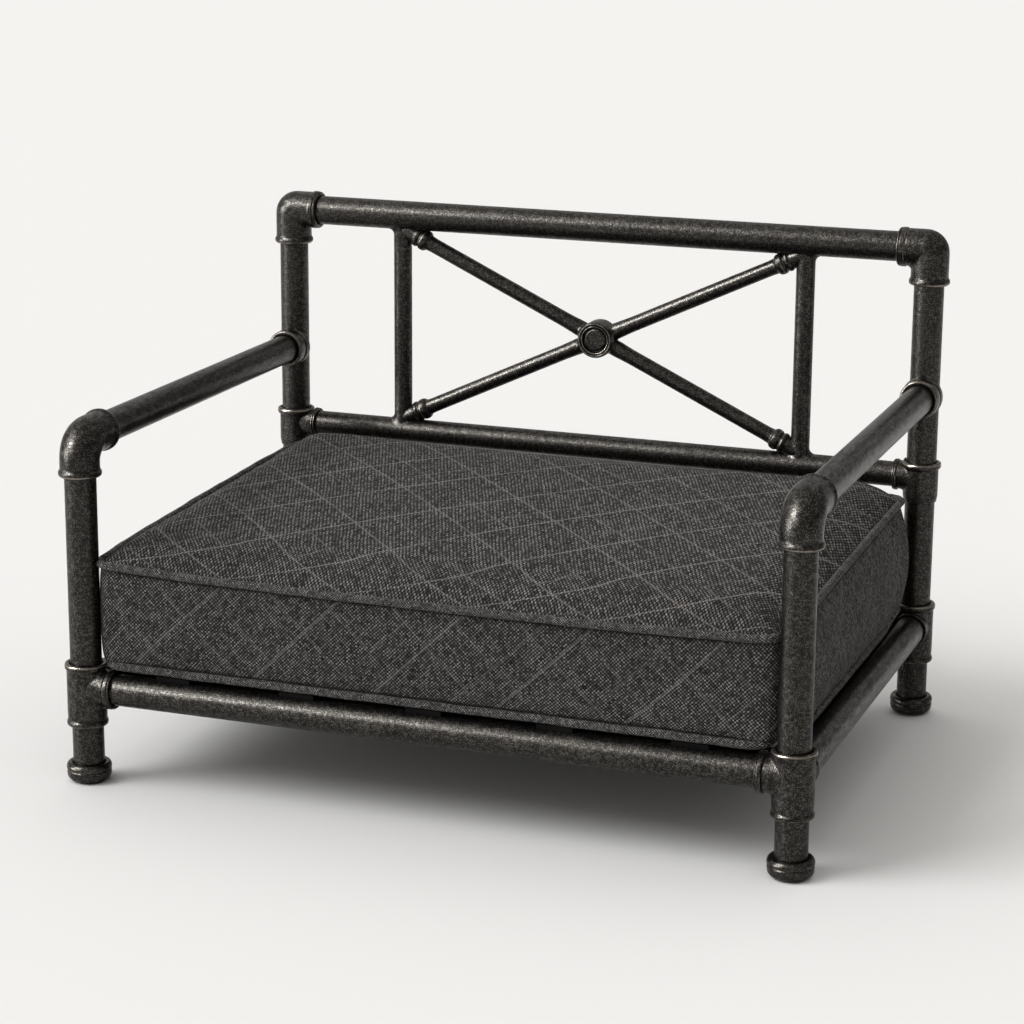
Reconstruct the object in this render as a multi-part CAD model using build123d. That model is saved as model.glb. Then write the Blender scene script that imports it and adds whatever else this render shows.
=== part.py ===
from build123d import *
import math
import os

# A dog bed with a frame of iron pipe and cast fittings, and a boxed cushion that lifts out.
# Millimetres, +Z up, +X to the right seen from the front, +Y to the back.
# The origin is on the floor, midway between the four uprights.

# Frame centre lines
POST_SPACING_X = 767.0
POST_SPACING_Y = 540.6
SEAT_RAIL_Z = 103.7
BACK_RAIL_Z = 277.6
ARM_Z = 371.0
TOP_RAIL_Z = 535.8
SPINDLE_SPACING = 486.8

# Pipe sections
PIPE_OD = 33.4
PIPE_WALL = 3.4
BACK_RAIL_OD = 28.4
BACK_RAIL_WALL = 2.9
SPINDLE_OD = 21.3
BRACE_OD = 17.2

# Fits, measured on the radius
SOCKET_CLEARANCE = 0.2
SADDLE_CLEARANCE = 0.2

# Cast fittings: wall outside the pipe, beads at the mouths, plain outlets
FITTING_WALL = 4.0
OUTLET_WALL = 3.6
OUTLET_STAND = 14.2
SIDE_OUTLET_WALL = 2.4
SIDE_OUTLET_STAND = 5.6
BEAD_RISE = 1.8
BEAD_WIDTH = 7.2
SOCKET_DEPTH = 18.0
SEAT_WEB = 2.6

# Corner tees
TEE_RISE = 27.3
TEE_DROP = 41.7
TEE_TAPER = 7.0
TEE_LIP_WALL = 3.0

# Elbows
ARM_ELBOW_DROP = 39.0
ARM_ELBOW_REACH = 50.0
ELBOW_INNER_RADIUS = 2.4
TOP_ELBOW_DROP = 40.5

# Saddle collars that carry the back ends of the arms
ARM_COLLAR_REACH = 32.0
ARM_COLLAR_SETBACK = 6.0
ARM_COLLAR_FLANGE = 11.0
ARM_COLLAR_STEP = 1.0

# Back tees
BACK_TEE_RISE = 17.6
BACK_TEE_DROP = 28.0
BACK_TEE_WALL = 2.6
BACK_BEAD_RISE = 2.7
BACK_OUTLET_WALL = 2.8
BACK_OUTLET_STAND = 11.0

# Feet
CAP_HEIGHT = 21.0
CAP_RIM_HEIGHT = 12.0
CAP_RIM_RISE = 3.0
CAP_FLOOR = 7.0
CAP_BASE_RADIUS = 19.8
GLIDE_RADIUS = 17.0
GLIDE_THICKNESS = 1.6

# Back panel
HUB_OD = 42.0
HUB_LENGTH = 30.0
HUB_RECESS_OD = 30.0
HUB_RECESS_DEPTH = 6.0
PLUG_OD = 25.6
PLUG_HEIGHT = 4.0
KNUCKLE_INSET_X = 21.4
KNUCKLE_INSET_Z = 25.1
KNUCKLE_RISE = 1.6
KNUCKLE_BEAD_RISE = 2.2
KNUCKLE_BEAD_WIDTH = 9.0
KNUCKLE_LEAD = 9.0

# Slats under the cushion, and the flat bars on edge that stiffen them
SLAT_COUNT = 5
SLAT_PITCH = 140.0
SLAT_WIDTH = 38.0
SLAT_THICKNESS = 6.0
SLAT_LIP_ANGLE = 14.0
DECK_BAR_HEIGHT = 25.0
DECK_BAR_THICKNESS = 6.0
DECK_BAR_GAP = 1.5

# Cushion
CUSHION_SIDE_GAP = 1.2
CUSHION_BACK_GAP = 1.0
CUSHION_FRONT_INSET = 0.8
CUSHION_REST_GAP = 0.3
CUSHION_CORNER = 20.0
WELT_RADIUS = 4.2
WELT_GAP = 0.1
WELT_SIDES = 6
BOXING_HEIGHT = 108.0
BOXING_DRAW = 2.6
BOTTOM_EDGE_INSET = 3.5
SEAM_TRIM = 0.4
SHOULDER_RUN = 58.0
SHOULDER_RISE = 31.0
SHOULDER_SWELL = 6.0
CROWN_HEIGHT = 42.0
COVER_THICKNESS = 1.6
FOAM_GAP = 0.4

# Zip in the back of the cover
ZIP_LENGTH = 520.0
ZIP_TAPE_WIDTH = 24.0
ZIP_TAPE_THICKNESS = 1.0
ZIP_GAP = 0.15
SLIDER_LENGTH = 11.0
SLIDER_HEIGHT = 9.0
SLIDER_THICKNESS = 2.6
SLIDER_RUN_GAP = 0.3
SLIDER_END_MARGIN = 20.0
PULL_LENGTH = 26.0
PULL_WIDTH = 7.0
PULL_THICKNESS = 1.6

# Values that follow from the sizes above
HALF_X = POST_SPACING_X / 2
HALF_Y = POST_SPACING_Y / 2
PIPE_R = PIPE_OD / 2
BORE_R = PIPE_R + SOCKET_CLEARANCE
BODY_R = BORE_R + FITTING_WALL
BEAD_R = BODY_R + BEAD_RISE
RAIL_SEAT = BORE_R + SEAT_WEB
OUTLET_R = BORE_R + OUTLET_WALL
OUTLET_REACH = BODY_R + OUTLET_STAND
SIDE_OUTLET_R = BORE_R + SIDE_OUTLET_WALL
SIDE_OUTLET_REACH = BODY_R + SIDE_OUTLET_STAND
BACK_RAIL_R = BACK_RAIL_OD / 2
BACK_BODY_R = BORE_R + BACK_TEE_WALL
BACK_OUTLET_R = BACK_RAIL_R + SOCKET_CLEARANCE + BACK_OUTLET_WALL
BACK_OUTLET_REACH = BACK_BODY_R + BACK_OUTLET_STAND
SADDLE_R = PIPE_R + SADDLE_CLEARANCE
BACK_MID_Z = (BACK_RAIL_Z + TOP_RAIL_Z) / 2
SPINDLE_X = SPINDLE_SPACING / 2
TEE_TOP_Z = SEAT_RAIL_Z + TEE_RISE
TEE_BOTTOM_Z = SEAT_RAIL_Z - TEE_DROP
POST_FOOT_Z = GLIDE_THICKNESS + CAP_FLOOR
DECK_Z = SEAT_RAIL_Z + SADDLE_R + SLAT_THICKNESS
DECK_BAR_TOP = SEAT_RAIL_Z + PIPE_R
DECK_BAR_X = HALF_X - SIDE_OUTLET_R - DECK_BAR_GAP
DECK_BAR_Y = HALF_Y - OUTLET_R - DECK_BAR_GAP
WELT_REACH = 2 * WELT_RADIUS + WELT_GAP
CUSHION_BOTTOM = DECK_Z + CUSHION_REST_GAP
LOWER_SEAM_Z = CUSHION_BOTTOM + WELT_RADIUS + WELT_GAP
UPPER_SEAM_Z = LOWER_SEAM_Z + BOXING_HEIGHT
CUSHION_HALF_X = HALF_X - BEAD_R - CUSHION_SIDE_GAP - WELT_REACH
CUSHION_BACK = HALF_Y - BEAD_R - CUSHION_BACK_GAP - WELT_REACH
CUSHION_FRONT = -HALF_Y + CUSHION_FRONT_INSET
CUSHION_HALF_Y = (CUSHION_BACK - CUSHION_FRONT) / 2
CUSHION_MID_Y = (CUSHION_BACK + CUSHION_FRONT) / 2

FROM_BASE = (Align.CENTER, Align.CENTER, Align.MIN)


# General forms

def rod(radius, start, end):
    """A solid bar between two points."""
    run = Vector(end) - Vector(start)
    return Plane(origin=start, z_dir=run) * Cylinder(radius, run.length, align=FROM_BASE)


def pipe(od, wall, start, end):
    """A hollow pipe between two points."""
    return rod(od / 2, start, end) - rod(od / 2 - wall, start, end)


def turned(*spots):
    """A solid of revolution about Z. Each spot of the outline is a radius and a height."""
    return revolve(make_face(Polyline(*[(r, 0, z) for r, z in spots], close=True)), Axis.Z)


def bead(body_r, rise):
    """The rolled bead at a fitting's mouth, standing on the XY plane."""
    return turned((0, 0), (body_r, 0), (body_r + rise, BEAD_WIDTH / 2), (body_r, BEAD_WIDTH), (0, BEAD_WIDTH))


def pair(shape):
    """A right-hand piece and its mirror image on the left."""
    return [shape, mirror(shape, about=Plane.YZ)]


# Feet

def foot_cap(y):
    """A pipe cap with a swelling rim, on the right."""
    rim_z = CAP_HEIGHT - CAP_RIM_HEIGHT
    body = turned(
        (0, GLIDE_THICKNESS),
        (CAP_BASE_RADIUS, GLIDE_THICKNESS),
        (BODY_R, rim_z),
        (BODY_R + CAP_RIM_RISE, rim_z + CAP_RIM_HEIGHT / 2),
        (BODY_R, CAP_HEIGHT),
        (0, CAP_HEIGHT),
    )
    socket = rod(BORE_R, (0, 0, POST_FOOT_Z), (0, 0, CAP_HEIGHT))
    return Pos(HALF_X, y, 0) * (body - socket)


def foot_glide(y):
    """The rubber pad under a foot cap, on the right."""
    return rod(GLIDE_RADIUS, (HALF_X, y, 0), (HALF_X, y, GLIDE_THICKNESS))


# Corner tees and seat rails

def corner_tee(y):
    """A sleeve on the right upright with one outlet towards the left and one along the side."""
    run = turned(
        (0, TEE_BOTTOM_Z),
        (BORE_R + TEE_LIP_WALL, TEE_BOTTOM_Z),
        (BODY_R, TEE_BOTTOM_Z + TEE_TAPER),
        (BODY_R, TEE_TOP_Z - BEAD_WIDTH),
        (0, TEE_TOP_Z - BEAD_WIDTH),
    )
    run += Pos(0, 0, TEE_TOP_Z - BEAD_WIDTH) * bead(BODY_R, BEAD_RISE)
    centre = (0, 0, SEAT_RAIL_Z)
    cross = Plane(origin=centre, z_dir=(-1, 0, 0))
    along = Plane(origin=centre, z_dir=(0, -y, 0))
    run += cross * rod(OUTLET_R, (0, 0, 0), (0, 0, OUTLET_REACH))
    run += along * rod(SIDE_OUTLET_R, (0, 0, 0), (0, 0, SIDE_OUTLET_REACH))
    run -= cross * rod(BORE_R, (0, 0, RAIL_SEAT), (0, 0, OUTLET_REACH))
    run -= along * rod(BORE_R, (0, 0, RAIL_SEAT), (0, 0, SIDE_OUTLET_REACH))
    run -= rod(BORE_R, (0, 0, TEE_BOTTOM_Z - BEAD_R), (0, 0, TEE_TOP_Z + BEAD_R))
    return Pos(HALF_X, y, 0) * run


def cross_rail(y):
    """A seat rail across the front or the back."""
    end = HALF_X - RAIL_SEAT
    return pipe(PIPE_OD, PIPE_WALL, (-end, y, SEAT_RAIL_Z), (end, y, SEAT_RAIL_Z))


def side_rail(x):
    """A seat rail along one side."""
    end = HALF_Y - RAIL_SEAT
    return pipe(PIPE_OD, PIPE_WALL, (x, -end, SEAT_RAIL_Z), (x, end, SEAT_RAIL_Z))


# Front uprights and arms

def front_post(x):
    """The front upright, from its foot cap through the corner tee to the arm elbow."""
    top = ARM_Z - ARM_ELBOW_DROP + SOCKET_DEPTH
    return pipe(PIPE_OD, PIPE_WALL, (x, -HALF_Y, POST_FOOT_Z), (x, -HALF_Y, top))


def arm_elbow():
    """A swept elbow from the right front upright into its arm."""
    route = FilletPolyline(
        (0, 0, -ARM_ELBOW_DROP),
        (0, 0, 0),
        (0, ARM_ELBOW_REACH, 0),
        radius=BODY_R + ELBOW_INNER_RADIUS,
    )
    body = sweep(Pos(0, 0, -ARM_ELBOW_DROP) * Circle(BODY_R), path=route)
    body += Pos(0, 0, -ARM_ELBOW_DROP) * bead(BODY_R, BEAD_RISE)
    mouth = Plane(origin=(0, ARM_ELBOW_REACH, 0), z_dir=(0, -1, 0))
    body += mouth * bead(BODY_R, BEAD_RISE)
    body -= rod(BORE_R, (0, 0, -ARM_ELBOW_DROP), (0, 0, SOCKET_DEPTH - ARM_ELBOW_DROP))
    body -= rod(BORE_R, (0, ARM_ELBOW_REACH, 0), (0, ARM_ELBOW_REACH - SOCKET_DEPTH, 0))
    return Pos(HALF_X, -HALF_Y, ARM_Z) * body


def arm_rail(x):
    """The arm itself, from its elbow to the collar on the rear upright."""
    front = -HALF_Y + ARM_ELBOW_REACH - SOCKET_DEPTH
    return pipe(PIPE_OD, PIPE_WALL, (x, front, ARM_Z), (x, HALF_Y - RAIL_SEAT, ARM_Z))


def arm_collar():
    """A stepped collar that saddles the right rear upright and takes the end of the arm."""
    flange_end = ARM_COLLAR_SETBACK + ARM_COLLAR_FLANGE
    body = turned(
        (0, ARM_COLLAR_SETBACK),
        (BEAD_R, ARM_COLLAR_SETBACK),
        (BEAD_R, flange_end),
        (BEAD_R - ARM_COLLAR_STEP, flange_end),
        (BEAD_R - ARM_COLLAR_STEP, ARM_COLLAR_REACH),
        (0, ARM_COLLAR_REACH),
    )
    body -= rod(BORE_R, (0, 0, RAIL_SEAT), (0, 0, ARM_COLLAR_REACH))
    collar = Plane(origin=(HALF_X, HALF_Y, ARM_Z), z_dir=(0, -1, 0)) * body
    upright = rod(SADDLE_R, (HALF_X, HALF_Y, ARM_Z - 2 * BEAD_R), (HALF_X, HALF_Y, ARM_Z + 2 * BEAD_R))
    return collar - upright


# Rear uprights and the back

def rear_post(x):
    """The rear upright, from its foot cap through both tees to the top elbow."""
    top = TOP_RAIL_Z - TOP_ELBOW_DROP + SOCKET_DEPTH
    return pipe(PIPE_OD, PIPE_WALL, (x, HALF_Y, POST_FOOT_Z), (x, HALF_Y, top))


def back_tee():
    """A slim sleeve on the right rear upright that takes the lower back rail."""
    bead_z = BACK_TEE_RISE - BEAD_WIDTH
    run = turned(
        (0, -BACK_TEE_DROP),
        (BORE_R + TEE_LIP_WALL, -BACK_TEE_DROP),
        (BACK_BODY_R, TEE_TAPER - BACK_TEE_DROP),
        (BACK_BODY_R, bead_z),
        (0, bead_z),
    )
    run += Pos(0, 0, bead_z) * bead(BACK_BODY_R, BACK_BEAD_RISE)
    inward = Plane(origin=(0, 0, 0), z_dir=(-1, 0, 0))
    run += inward * rod(BACK_OUTLET_R, (0, 0, 0), (0, 0, BACK_OUTLET_REACH))
    run -= inward * rod(BACK_RAIL_R + SOCKET_CLEARANCE, (0, 0, RAIL_SEAT), (0, 0, BACK_OUTLET_REACH))
    run -= rod(BORE_R, (0, 0, -BACK_TEE_DROP - BEAD_R), (0, 0, BACK_TEE_RISE + BEAD_R))
    return Pos(HALF_X, HALF_Y, BACK_RAIL_Z) * run


def top_elbow():
    """A tight elbow with a ball corner, from the right rear upright into the top rail."""
    body = rod(BODY_R, (0, 0, -TOP_ELBOW_DROP), (0, 0, 0))
    body += rod(BODY_R, (0, 0, 0), (-OUTLET_REACH, 0, 0))
    body += Sphere(BODY_R)
    body += Pos(0, 0, -TOP_ELBOW_DROP) * bead(BODY_R, BEAD_RISE)
    body -= rod(BORE_R, (-RAIL_SEAT, 0, 0), (-OUTLET_REACH, 0, 0))
    body -= rod(BORE_R, (0, 0, -TOP_ELBOW_DROP), (0, 0, SOCKET_DEPTH - TOP_ELBOW_DROP))
    return Pos(HALF_X, HALF_Y, TOP_RAIL_Z) * body


def back_rail(z, od, wall):
    """A horizontal rail of the back, seated in the fittings at both ends."""
    end = HALF_X - RAIL_SEAT
    return pipe(od, wall, (-end, HALF_Y, z), (end, HALF_Y, z))


def rails_to_clear():
    """Both back rails, grown by the saddle clearance."""
    low = rod(BACK_RAIL_R + SADDLE_CLEARANCE, (-HALF_X, HALF_Y, BACK_RAIL_Z), (HALF_X, HALF_Y, BACK_RAIL_Z))
    high = rod(SADDLE_R, (-HALF_X, HALF_Y, TOP_RAIL_Z), (HALF_X, HALF_Y, TOP_RAIL_Z))
    return low + high


def spindle(growth=0.0):
    """The right spindle, a bar saddled to both rails."""
    bar = rod(SPINDLE_OD / 2 + growth, (SPINDLE_X, HALF_Y, BACK_RAIL_Z), (SPINDLE_X, HALF_Y, TOP_RAIL_Z))
    return bar - rails_to_clear()


def brace(up):
    """A right-hand brace from the hub to a knuckle in the corner of the spindle and a rail."""
    hub = Vector(0, HALF_Y, BACK_MID_Z)
    rise = (TOP_RAIL_Z - BACK_RAIL_Z) / 2 - KNUCKLE_INSET_Z
    knuckle = Vector(SPINDLE_X - KNUCKLE_INSET_X, HALF_Y, BACK_MID_Z + up * rise) - hub
    radius = BRACE_OD / 2
    knuckle_r = radius + KNUCKLE_RISE
    bead_start = knuckle.length - KNUCKLE_LEAD
    tail = knuckle.length * SPINDLE_X / knuckle.X
    bar = turned(
        (0, 0),
        (radius, 0),
        (radius, bead_start),
        (knuckle_r + KNUCKLE_BEAD_RISE, bead_start + KNUCKLE_BEAD_WIDTH / 2),
        (knuckle_r, bead_start + KNUCKLE_BEAD_WIDTH),
        (knuckle_r, tail),
        (0, tail),
    )
    hub_body = rod(HUB_OD / 2 + SADDLE_CLEARANCE, hub - (0, HUB_LENGTH, 0), hub + (0, HUB_LENGTH, 0))
    placed = Plane(origin=hub, z_dir=knuckle) * bar
    return placed - hub_body - spindle(SADDLE_CLEARANCE) - rails_to_clear()


def hub_ring():
    """The round hub where the four braces meet, with a recess in its front."""
    front, back = HALF_Y - HUB_LENGTH / 2, HALF_Y + HUB_LENGTH / 2
    body = rod(HUB_OD / 2, (0, back, BACK_MID_Z), (0, front, BACK_MID_Z))
    return body - rod(HUB_RECESS_OD / 2, (0, front + HUB_RECESS_DEPTH, BACK_MID_Z), (0, front, BACK_MID_Z))


def hub_plug():
    """The disc in the hub's recess."""
    floor = HALF_Y - HUB_LENGTH / 2 + HUB_RECESS_DEPTH
    return rod(PLUG_OD / 2, (0, floor, BACK_MID_Z), (0, floor - PLUG_HEIGHT, BACK_MID_Z))


# Slats

def slat(x):
    """A flat bar from the front seat rail to the back one, with its ends rolled over the rails."""
    outer_r = SADDLE_R + SLAT_THICKNESS

    def on_rail(radius, side, share):
        turn = math.radians(SLAT_LIP_ANGLE * share)
        y = side * (HALF_Y + radius * math.sin(turn))
        return (x, y, SEAT_RAIL_Z + radius * math.cos(turn))

    edges = [
        Line(on_rail(SADDLE_R, -1, 0), on_rail(SADDLE_R, 1, 0)),
        Line(on_rail(outer_r, -1, 0), on_rail(outer_r, 1, 0)),
    ]
    for side in (-1, 1):
        for radius in (SADDLE_R, outer_r):
            edges.append(ThreePointArc(*[on_rail(radius, side, share) for share in (0, 0.5, 1)]))
        edges.append(Line(on_rail(SADDLE_R, side, 1), on_rail(outer_r, side, 1)))
    return extrude(make_face(edges), amount=SLAT_WIDTH / 2, dir=(1, 0, 0), both=True)


def deck_bar(side, across):
    """A flat bar on edge under the slats, just inside a seat rail: across the bed, or along one side."""
    low = DECK_BAR_TOP - DECK_BAR_HEIGHT
    if across:
        bar = Box(2 * DECK_BAR_X, DECK_BAR_THICKNESS, DECK_BAR_HEIGHT, align=FROM_BASE)
        return Pos(0, side * (DECK_BAR_Y - DECK_BAR_THICKNESS / 2), low) * bar
    length = 2 * (DECK_BAR_Y - DECK_BAR_THICKNESS - SADDLE_CLEARANCE)
    bar = Box(DECK_BAR_THICKNESS, length, DECK_BAR_HEIGHT, align=FROM_BASE)
    return Pos(side * (DECK_BAR_X - DECK_BAR_THICKNESS / 2), 0, low) * bar


# Cushion

def cushion_profile(half, inset):
    """The section across the cushion: boxing drawn in between its seams, swelling shoulders and a crown.

    It overhangs the plan by the seam trim, so that the plan cuts the seam line.
    """
    edge = half + SEAM_TRIM - inset
    sole = (edge - BOTTOM_EDGE_INSET, CUSHION_BOTTOM + inset)
    low = (edge, LOWER_SEAM_Z)
    high = (edge, UPPER_SEAM_Z)
    shoulder = (edge - SHOULDER_RUN, UPPER_SEAM_Z + SHOULDER_RISE - inset)
    top = (0, UPPER_SEAM_Z + CROWN_HEIGHT - inset)
    outline = [
        Polyline((0, sole[1]), sole, low),
        SagittaArc(low, high, BOXING_DRAW),
        SagittaArc(high, shoulder, -SHOULDER_SWELL),
        TangentArc(top, shoulder, tangent=(1, 0)),
        Line(top, (0, sole[1])),
    ]
    right = make_face(outline)
    return right + mirror(right, about=Plane.YZ)


def cushion_form(inset):
    """The cushion's body, drawn in by inset: one vault across, one from front to back, and a rounded plan."""
    half_x, half_y = CUSHION_HALF_X - inset, CUSHION_HALF_Y - inset
    across = extrude(Plane.XZ * cushion_profile(CUSHION_HALF_X, inset), CUSHION_HALF_X, both=True)
    along = extrude(Plane.YZ * cushion_profile(CUSHION_HALF_Y, inset), CUSHION_HALF_X, both=True)
    plan = RectangleRounded(2 * half_x, 2 * half_y, CUSHION_CORNER - inset)
    column = extrude(plan, UPPER_SEAM_Z + CROWN_HEIGHT)
    return Pos(0, CUSHION_MID_Y, 0) * (across & along & column)


def piping(seam_z):
    """A welt round the cushion, lying just outside a seam."""
    out = WELT_RADIUS + WELT_GAP
    outline = RectangleRounded(2 * (CUSHION_HALF_X + out), 2 * (CUSHION_HALF_Y + out), CUSHION_CORNER + out)
    route = Pos(0, CUSHION_MID_Y, seam_z) * outline.wire()
    start = Plane(origin=route @ 0, z_dir=route % 0)
    return sweep(start * RegularPolygon(WELT_RADIUS, WELT_SIDES), path=route)


# Zip

ZIP_Z = (LOWER_SEAM_Z + UPPER_SEAM_Z) / 2
ZIP_Y = CUSHION_BACK + SEAM_TRIM + ZIP_GAP - BOXING_DRAW * (1 - (ZIP_TAPE_WIDTH / BOXING_HEIGHT) ** 2)


def zip_tape():
    """The closed zip tape along the back of the boxing."""
    tape = Box(ZIP_LENGTH, ZIP_TAPE_THICKNESS, ZIP_TAPE_WIDTH)
    return Pos(0, ZIP_Y + ZIP_TAPE_THICKNESS / 2, ZIP_Z) * tape


def zip_slider():
    """The slider at the closed end of the zip, with its pull hanging down."""
    x = SLIDER_END_MARGIN - ZIP_LENGTH / 2
    y = ZIP_Y + ZIP_TAPE_THICKNESS + SLIDER_RUN_GAP
    body = Box(SLIDER_LENGTH, SLIDER_THICKNESS, SLIDER_HEIGHT)
    tab = Box(PULL_WIDTH, PULL_THICKNESS, PULL_LENGTH)
    tab_y = y + SLIDER_THICKNESS + PULL_THICKNESS / 2
    hung = Pos(x, tab_y, ZIP_Z + SLIDER_HEIGHT / 2 - PULL_LENGTH / 2) * tab
    return Pos(x, y + SLIDER_THICKNESS / 2, ZIP_Z) * body + hung


# All nodes

def build_nodes():
    """Every node's name with the solids in it."""
    nodes = {}
    for end, y in (("front", -HALF_Y), ("rear", HALF_Y)):
        nodes[end + "_foot_caps"] = pair(foot_cap(y))
        nodes[end + "_foot_glides"] = pair(foot_glide(y))
        nodes[end + "_corner_tees"] = pair(corner_tee(y))
        nodes[end + "_seat_rail"] = [cross_rail(y)]
    for hand, x in (("left", -HALF_X), ("right", HALF_X)):
        nodes["side_seat_rail_" + hand] = [side_rail(x)]
        nodes["front_post_" + hand] = [front_post(x)]
        nodes["arm_rail_" + hand] = [arm_rail(x)]
        nodes["rear_post_" + hand] = [rear_post(x)]
    nodes["arm_elbows"] = pair(arm_elbow())
    nodes["arm_collars"] = pair(arm_collar())
    nodes["back_tees"] = pair(back_tee())
    nodes["top_elbows"] = pair(top_elbow())
    nodes["top_rail"] = [back_rail(TOP_RAIL_Z, PIPE_OD, PIPE_WALL)]
    nodes["lower_back_rail"] = [back_rail(BACK_RAIL_Z, BACK_RAIL_OD, BACK_RAIL_WALL)]
    nodes["spindle_right"], nodes["spindle_left"] = ([s] for s in pair(spindle()))
    for level, up in (("upper", 1), ("lower", -1)):
        nodes[level + "_braces"] = pair(brace(up))
    nodes["hub_ring"] = [hub_ring()]
    nodes["hub_plug"] = [hub_plug()]
    for index in range(SLAT_COUNT):
        x = (index - (SLAT_COUNT - 1) / 2) * SLAT_PITCH
        nodes["slat_" + str(index + 1)] = [slat(x)]
    for place, side in (("front", -1), ("rear", 1)):
        nodes["deck_bar_" + place] = [deck_bar(side, True)]
    for place, side in (("left", -1), ("right", 1)):
        nodes["deck_bar_" + place] = [deck_bar(side, False)]
    nodes["cushion_cover"] = [cushion_form(0) - cushion_form(COVER_THICKNESS)]
    nodes["cushion_foam"] = [cushion_form(COVER_THICKNESS + FOAM_GAP)]
    nodes["top_piping"] = [piping(UPPER_SEAM_Z)]
    nodes["bottom_piping"] = [piping(LOWER_SEAM_Z)]
    nodes["zip_tape"] = [zip_tape()]
    nodes["zip_slider"] = [zip_slider()]
    return nodes


os.makedirs("parts", exist_ok=True)
for name, pieces in build_nodes().items():
    solids = [solid for piece in pieces for solid in piece.solids()]
    shape = solids[0] if len(solids) == 1 else Compound(solids)
    export_step(shape, "parts/" + name + ".step")
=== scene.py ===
"""Looks of a dog bed with a pipe frame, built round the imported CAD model.

Pipes, slats and glides stay as the CAD model has them. The cast fittings, the welded back
and the cushion are made here in finer form and stand for their CAD nodes.
Sizes of the castings, the cushion and the zip are millimetres. Meshes, finishes and the
studio are in metres.
"""

import logging
import math
from dataclasses import dataclass
from enum import Enum
from typing import Optional, Sequence

import bpy
import numpy as np
from mathutils import Matrix, Vector


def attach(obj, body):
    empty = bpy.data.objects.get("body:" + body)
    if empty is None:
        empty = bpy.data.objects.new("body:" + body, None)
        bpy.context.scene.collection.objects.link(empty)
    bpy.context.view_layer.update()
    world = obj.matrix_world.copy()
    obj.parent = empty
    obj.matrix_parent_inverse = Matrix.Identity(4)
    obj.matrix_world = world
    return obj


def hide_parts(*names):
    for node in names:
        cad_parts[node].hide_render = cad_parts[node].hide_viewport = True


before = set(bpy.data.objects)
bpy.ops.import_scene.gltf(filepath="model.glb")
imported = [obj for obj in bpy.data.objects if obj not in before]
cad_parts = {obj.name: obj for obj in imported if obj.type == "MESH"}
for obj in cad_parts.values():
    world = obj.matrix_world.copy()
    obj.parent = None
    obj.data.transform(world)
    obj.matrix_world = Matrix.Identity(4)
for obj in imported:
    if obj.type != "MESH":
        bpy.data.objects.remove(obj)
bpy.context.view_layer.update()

LOG = logging.getLogger("dog_bed")
MM = 0.001
BIAS = math.radians(45)
Triple = tuple[float, float, float]
Array = np.ndarray
Material = bpy.types.Material
Mesh = bpy.types.Mesh
Node = bpy.types.Node
Piece = bpy.types.Object
Socket = bpy.types.NodeSocket
Tree = bpy.types.NodeTree


class Body(Enum):
    """The bodies that pieces ride on."""

    FRAME = "frame"
    CUSHION = "cushion"
    SLIDER = "zip_slider"


class Slot(Enum):
    """The record's material slots, one for each kind of piece made here."""

    PIPE = "pipe_iron"
    FITTING = "fitting_iron"
    COVER = "cover_fabric"
    TAPE = "zip_fabric"
    METAL = "zip_metal"


# Turned and swept forms


@dataclass(frozen=True)
class Knot:
    """One corner of a turned outline, with how far it is rounded and how worn it is."""

    radius: float
    along: float
    bend: float = 0.0
    wear: float = 0.0


@dataclass(frozen=True)
class Seat:
    """Where a turned form starts, which way it runs, and the direction of its first point."""

    origin: Triple
    axis: Triple
    first: Triple

    def ring(self, radius: Array, along: Array, angle: Array) -> Array:
        """One ring of points about the axis.

        Args:
            radius: distance from the axis, one value or one for each angle.
            along: distance along the axis, one value or one for each angle.
            angle: angles of the points.

        Returns:
            Points as rows of x, y and z.
        """
        axis = np.array(self.axis, float) / np.linalg.norm(self.axis)
        first = np.array(self.first, float) / np.linalg.norm(self.first)
        across = np.cross(axis, first)
        spread = np.cos(angle)[:, None] * first + np.sin(angle)[:, None] * across
        radius = np.broadcast_to(radius, angle.shape)[:, None]
        along = np.broadcast_to(along, angle.shape)[:, None]
        return np.array(self.origin, float) + along * axis + radius * spread


def outline(*rows: tuple[float, ...]) -> list[Knot]:
    """Makes the corners of an outline.

    Args:
        rows: radius, along, bend and wear of each corner; the last two may be left out.

    Returns:
        The corners in the same order.
    """
    return [Knot(*row) for row in rows]


def rounded(knots: Sequence[Knot], steps: int = 5) -> tuple[Array, Array]:
    """Rounds the corners of an outline.

    Args:
        knots: corners of the outline, in order.
        steps: points on each rounded corner.

    Returns:
        Radius and along of each point, and its wear.
    """
    spots: list[Array] = []
    wear: list[float] = []
    corners = [np.array((k.radius, k.along)) for k in knots]
    for index, knot in enumerate(knots):
        here = corners[index]
        if knot.bend <= 0 or index in (0, len(knots) - 1):
            spots.append(here)
            wear.append(knot.wear)
            continue
        back, ahead = corners[index - 1] - here, corners[index + 1] - here
        start = here + back * min(knot.bend / np.linalg.norm(back), 0.5)
        end = here + ahead * min(knot.bend / np.linalg.norm(ahead), 0.5)
        for share in np.linspace(0, 1, steps + 1):
            spots.append((1 - share) ** 2 * start + 2 * share * (1 - share) * here + share**2 * end)
            wear.append(knot.wear * math.sin(math.pi * share) ** 0.5 if knot.wear else 0.0)
    return np.array(spots), np.array(wear)


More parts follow.
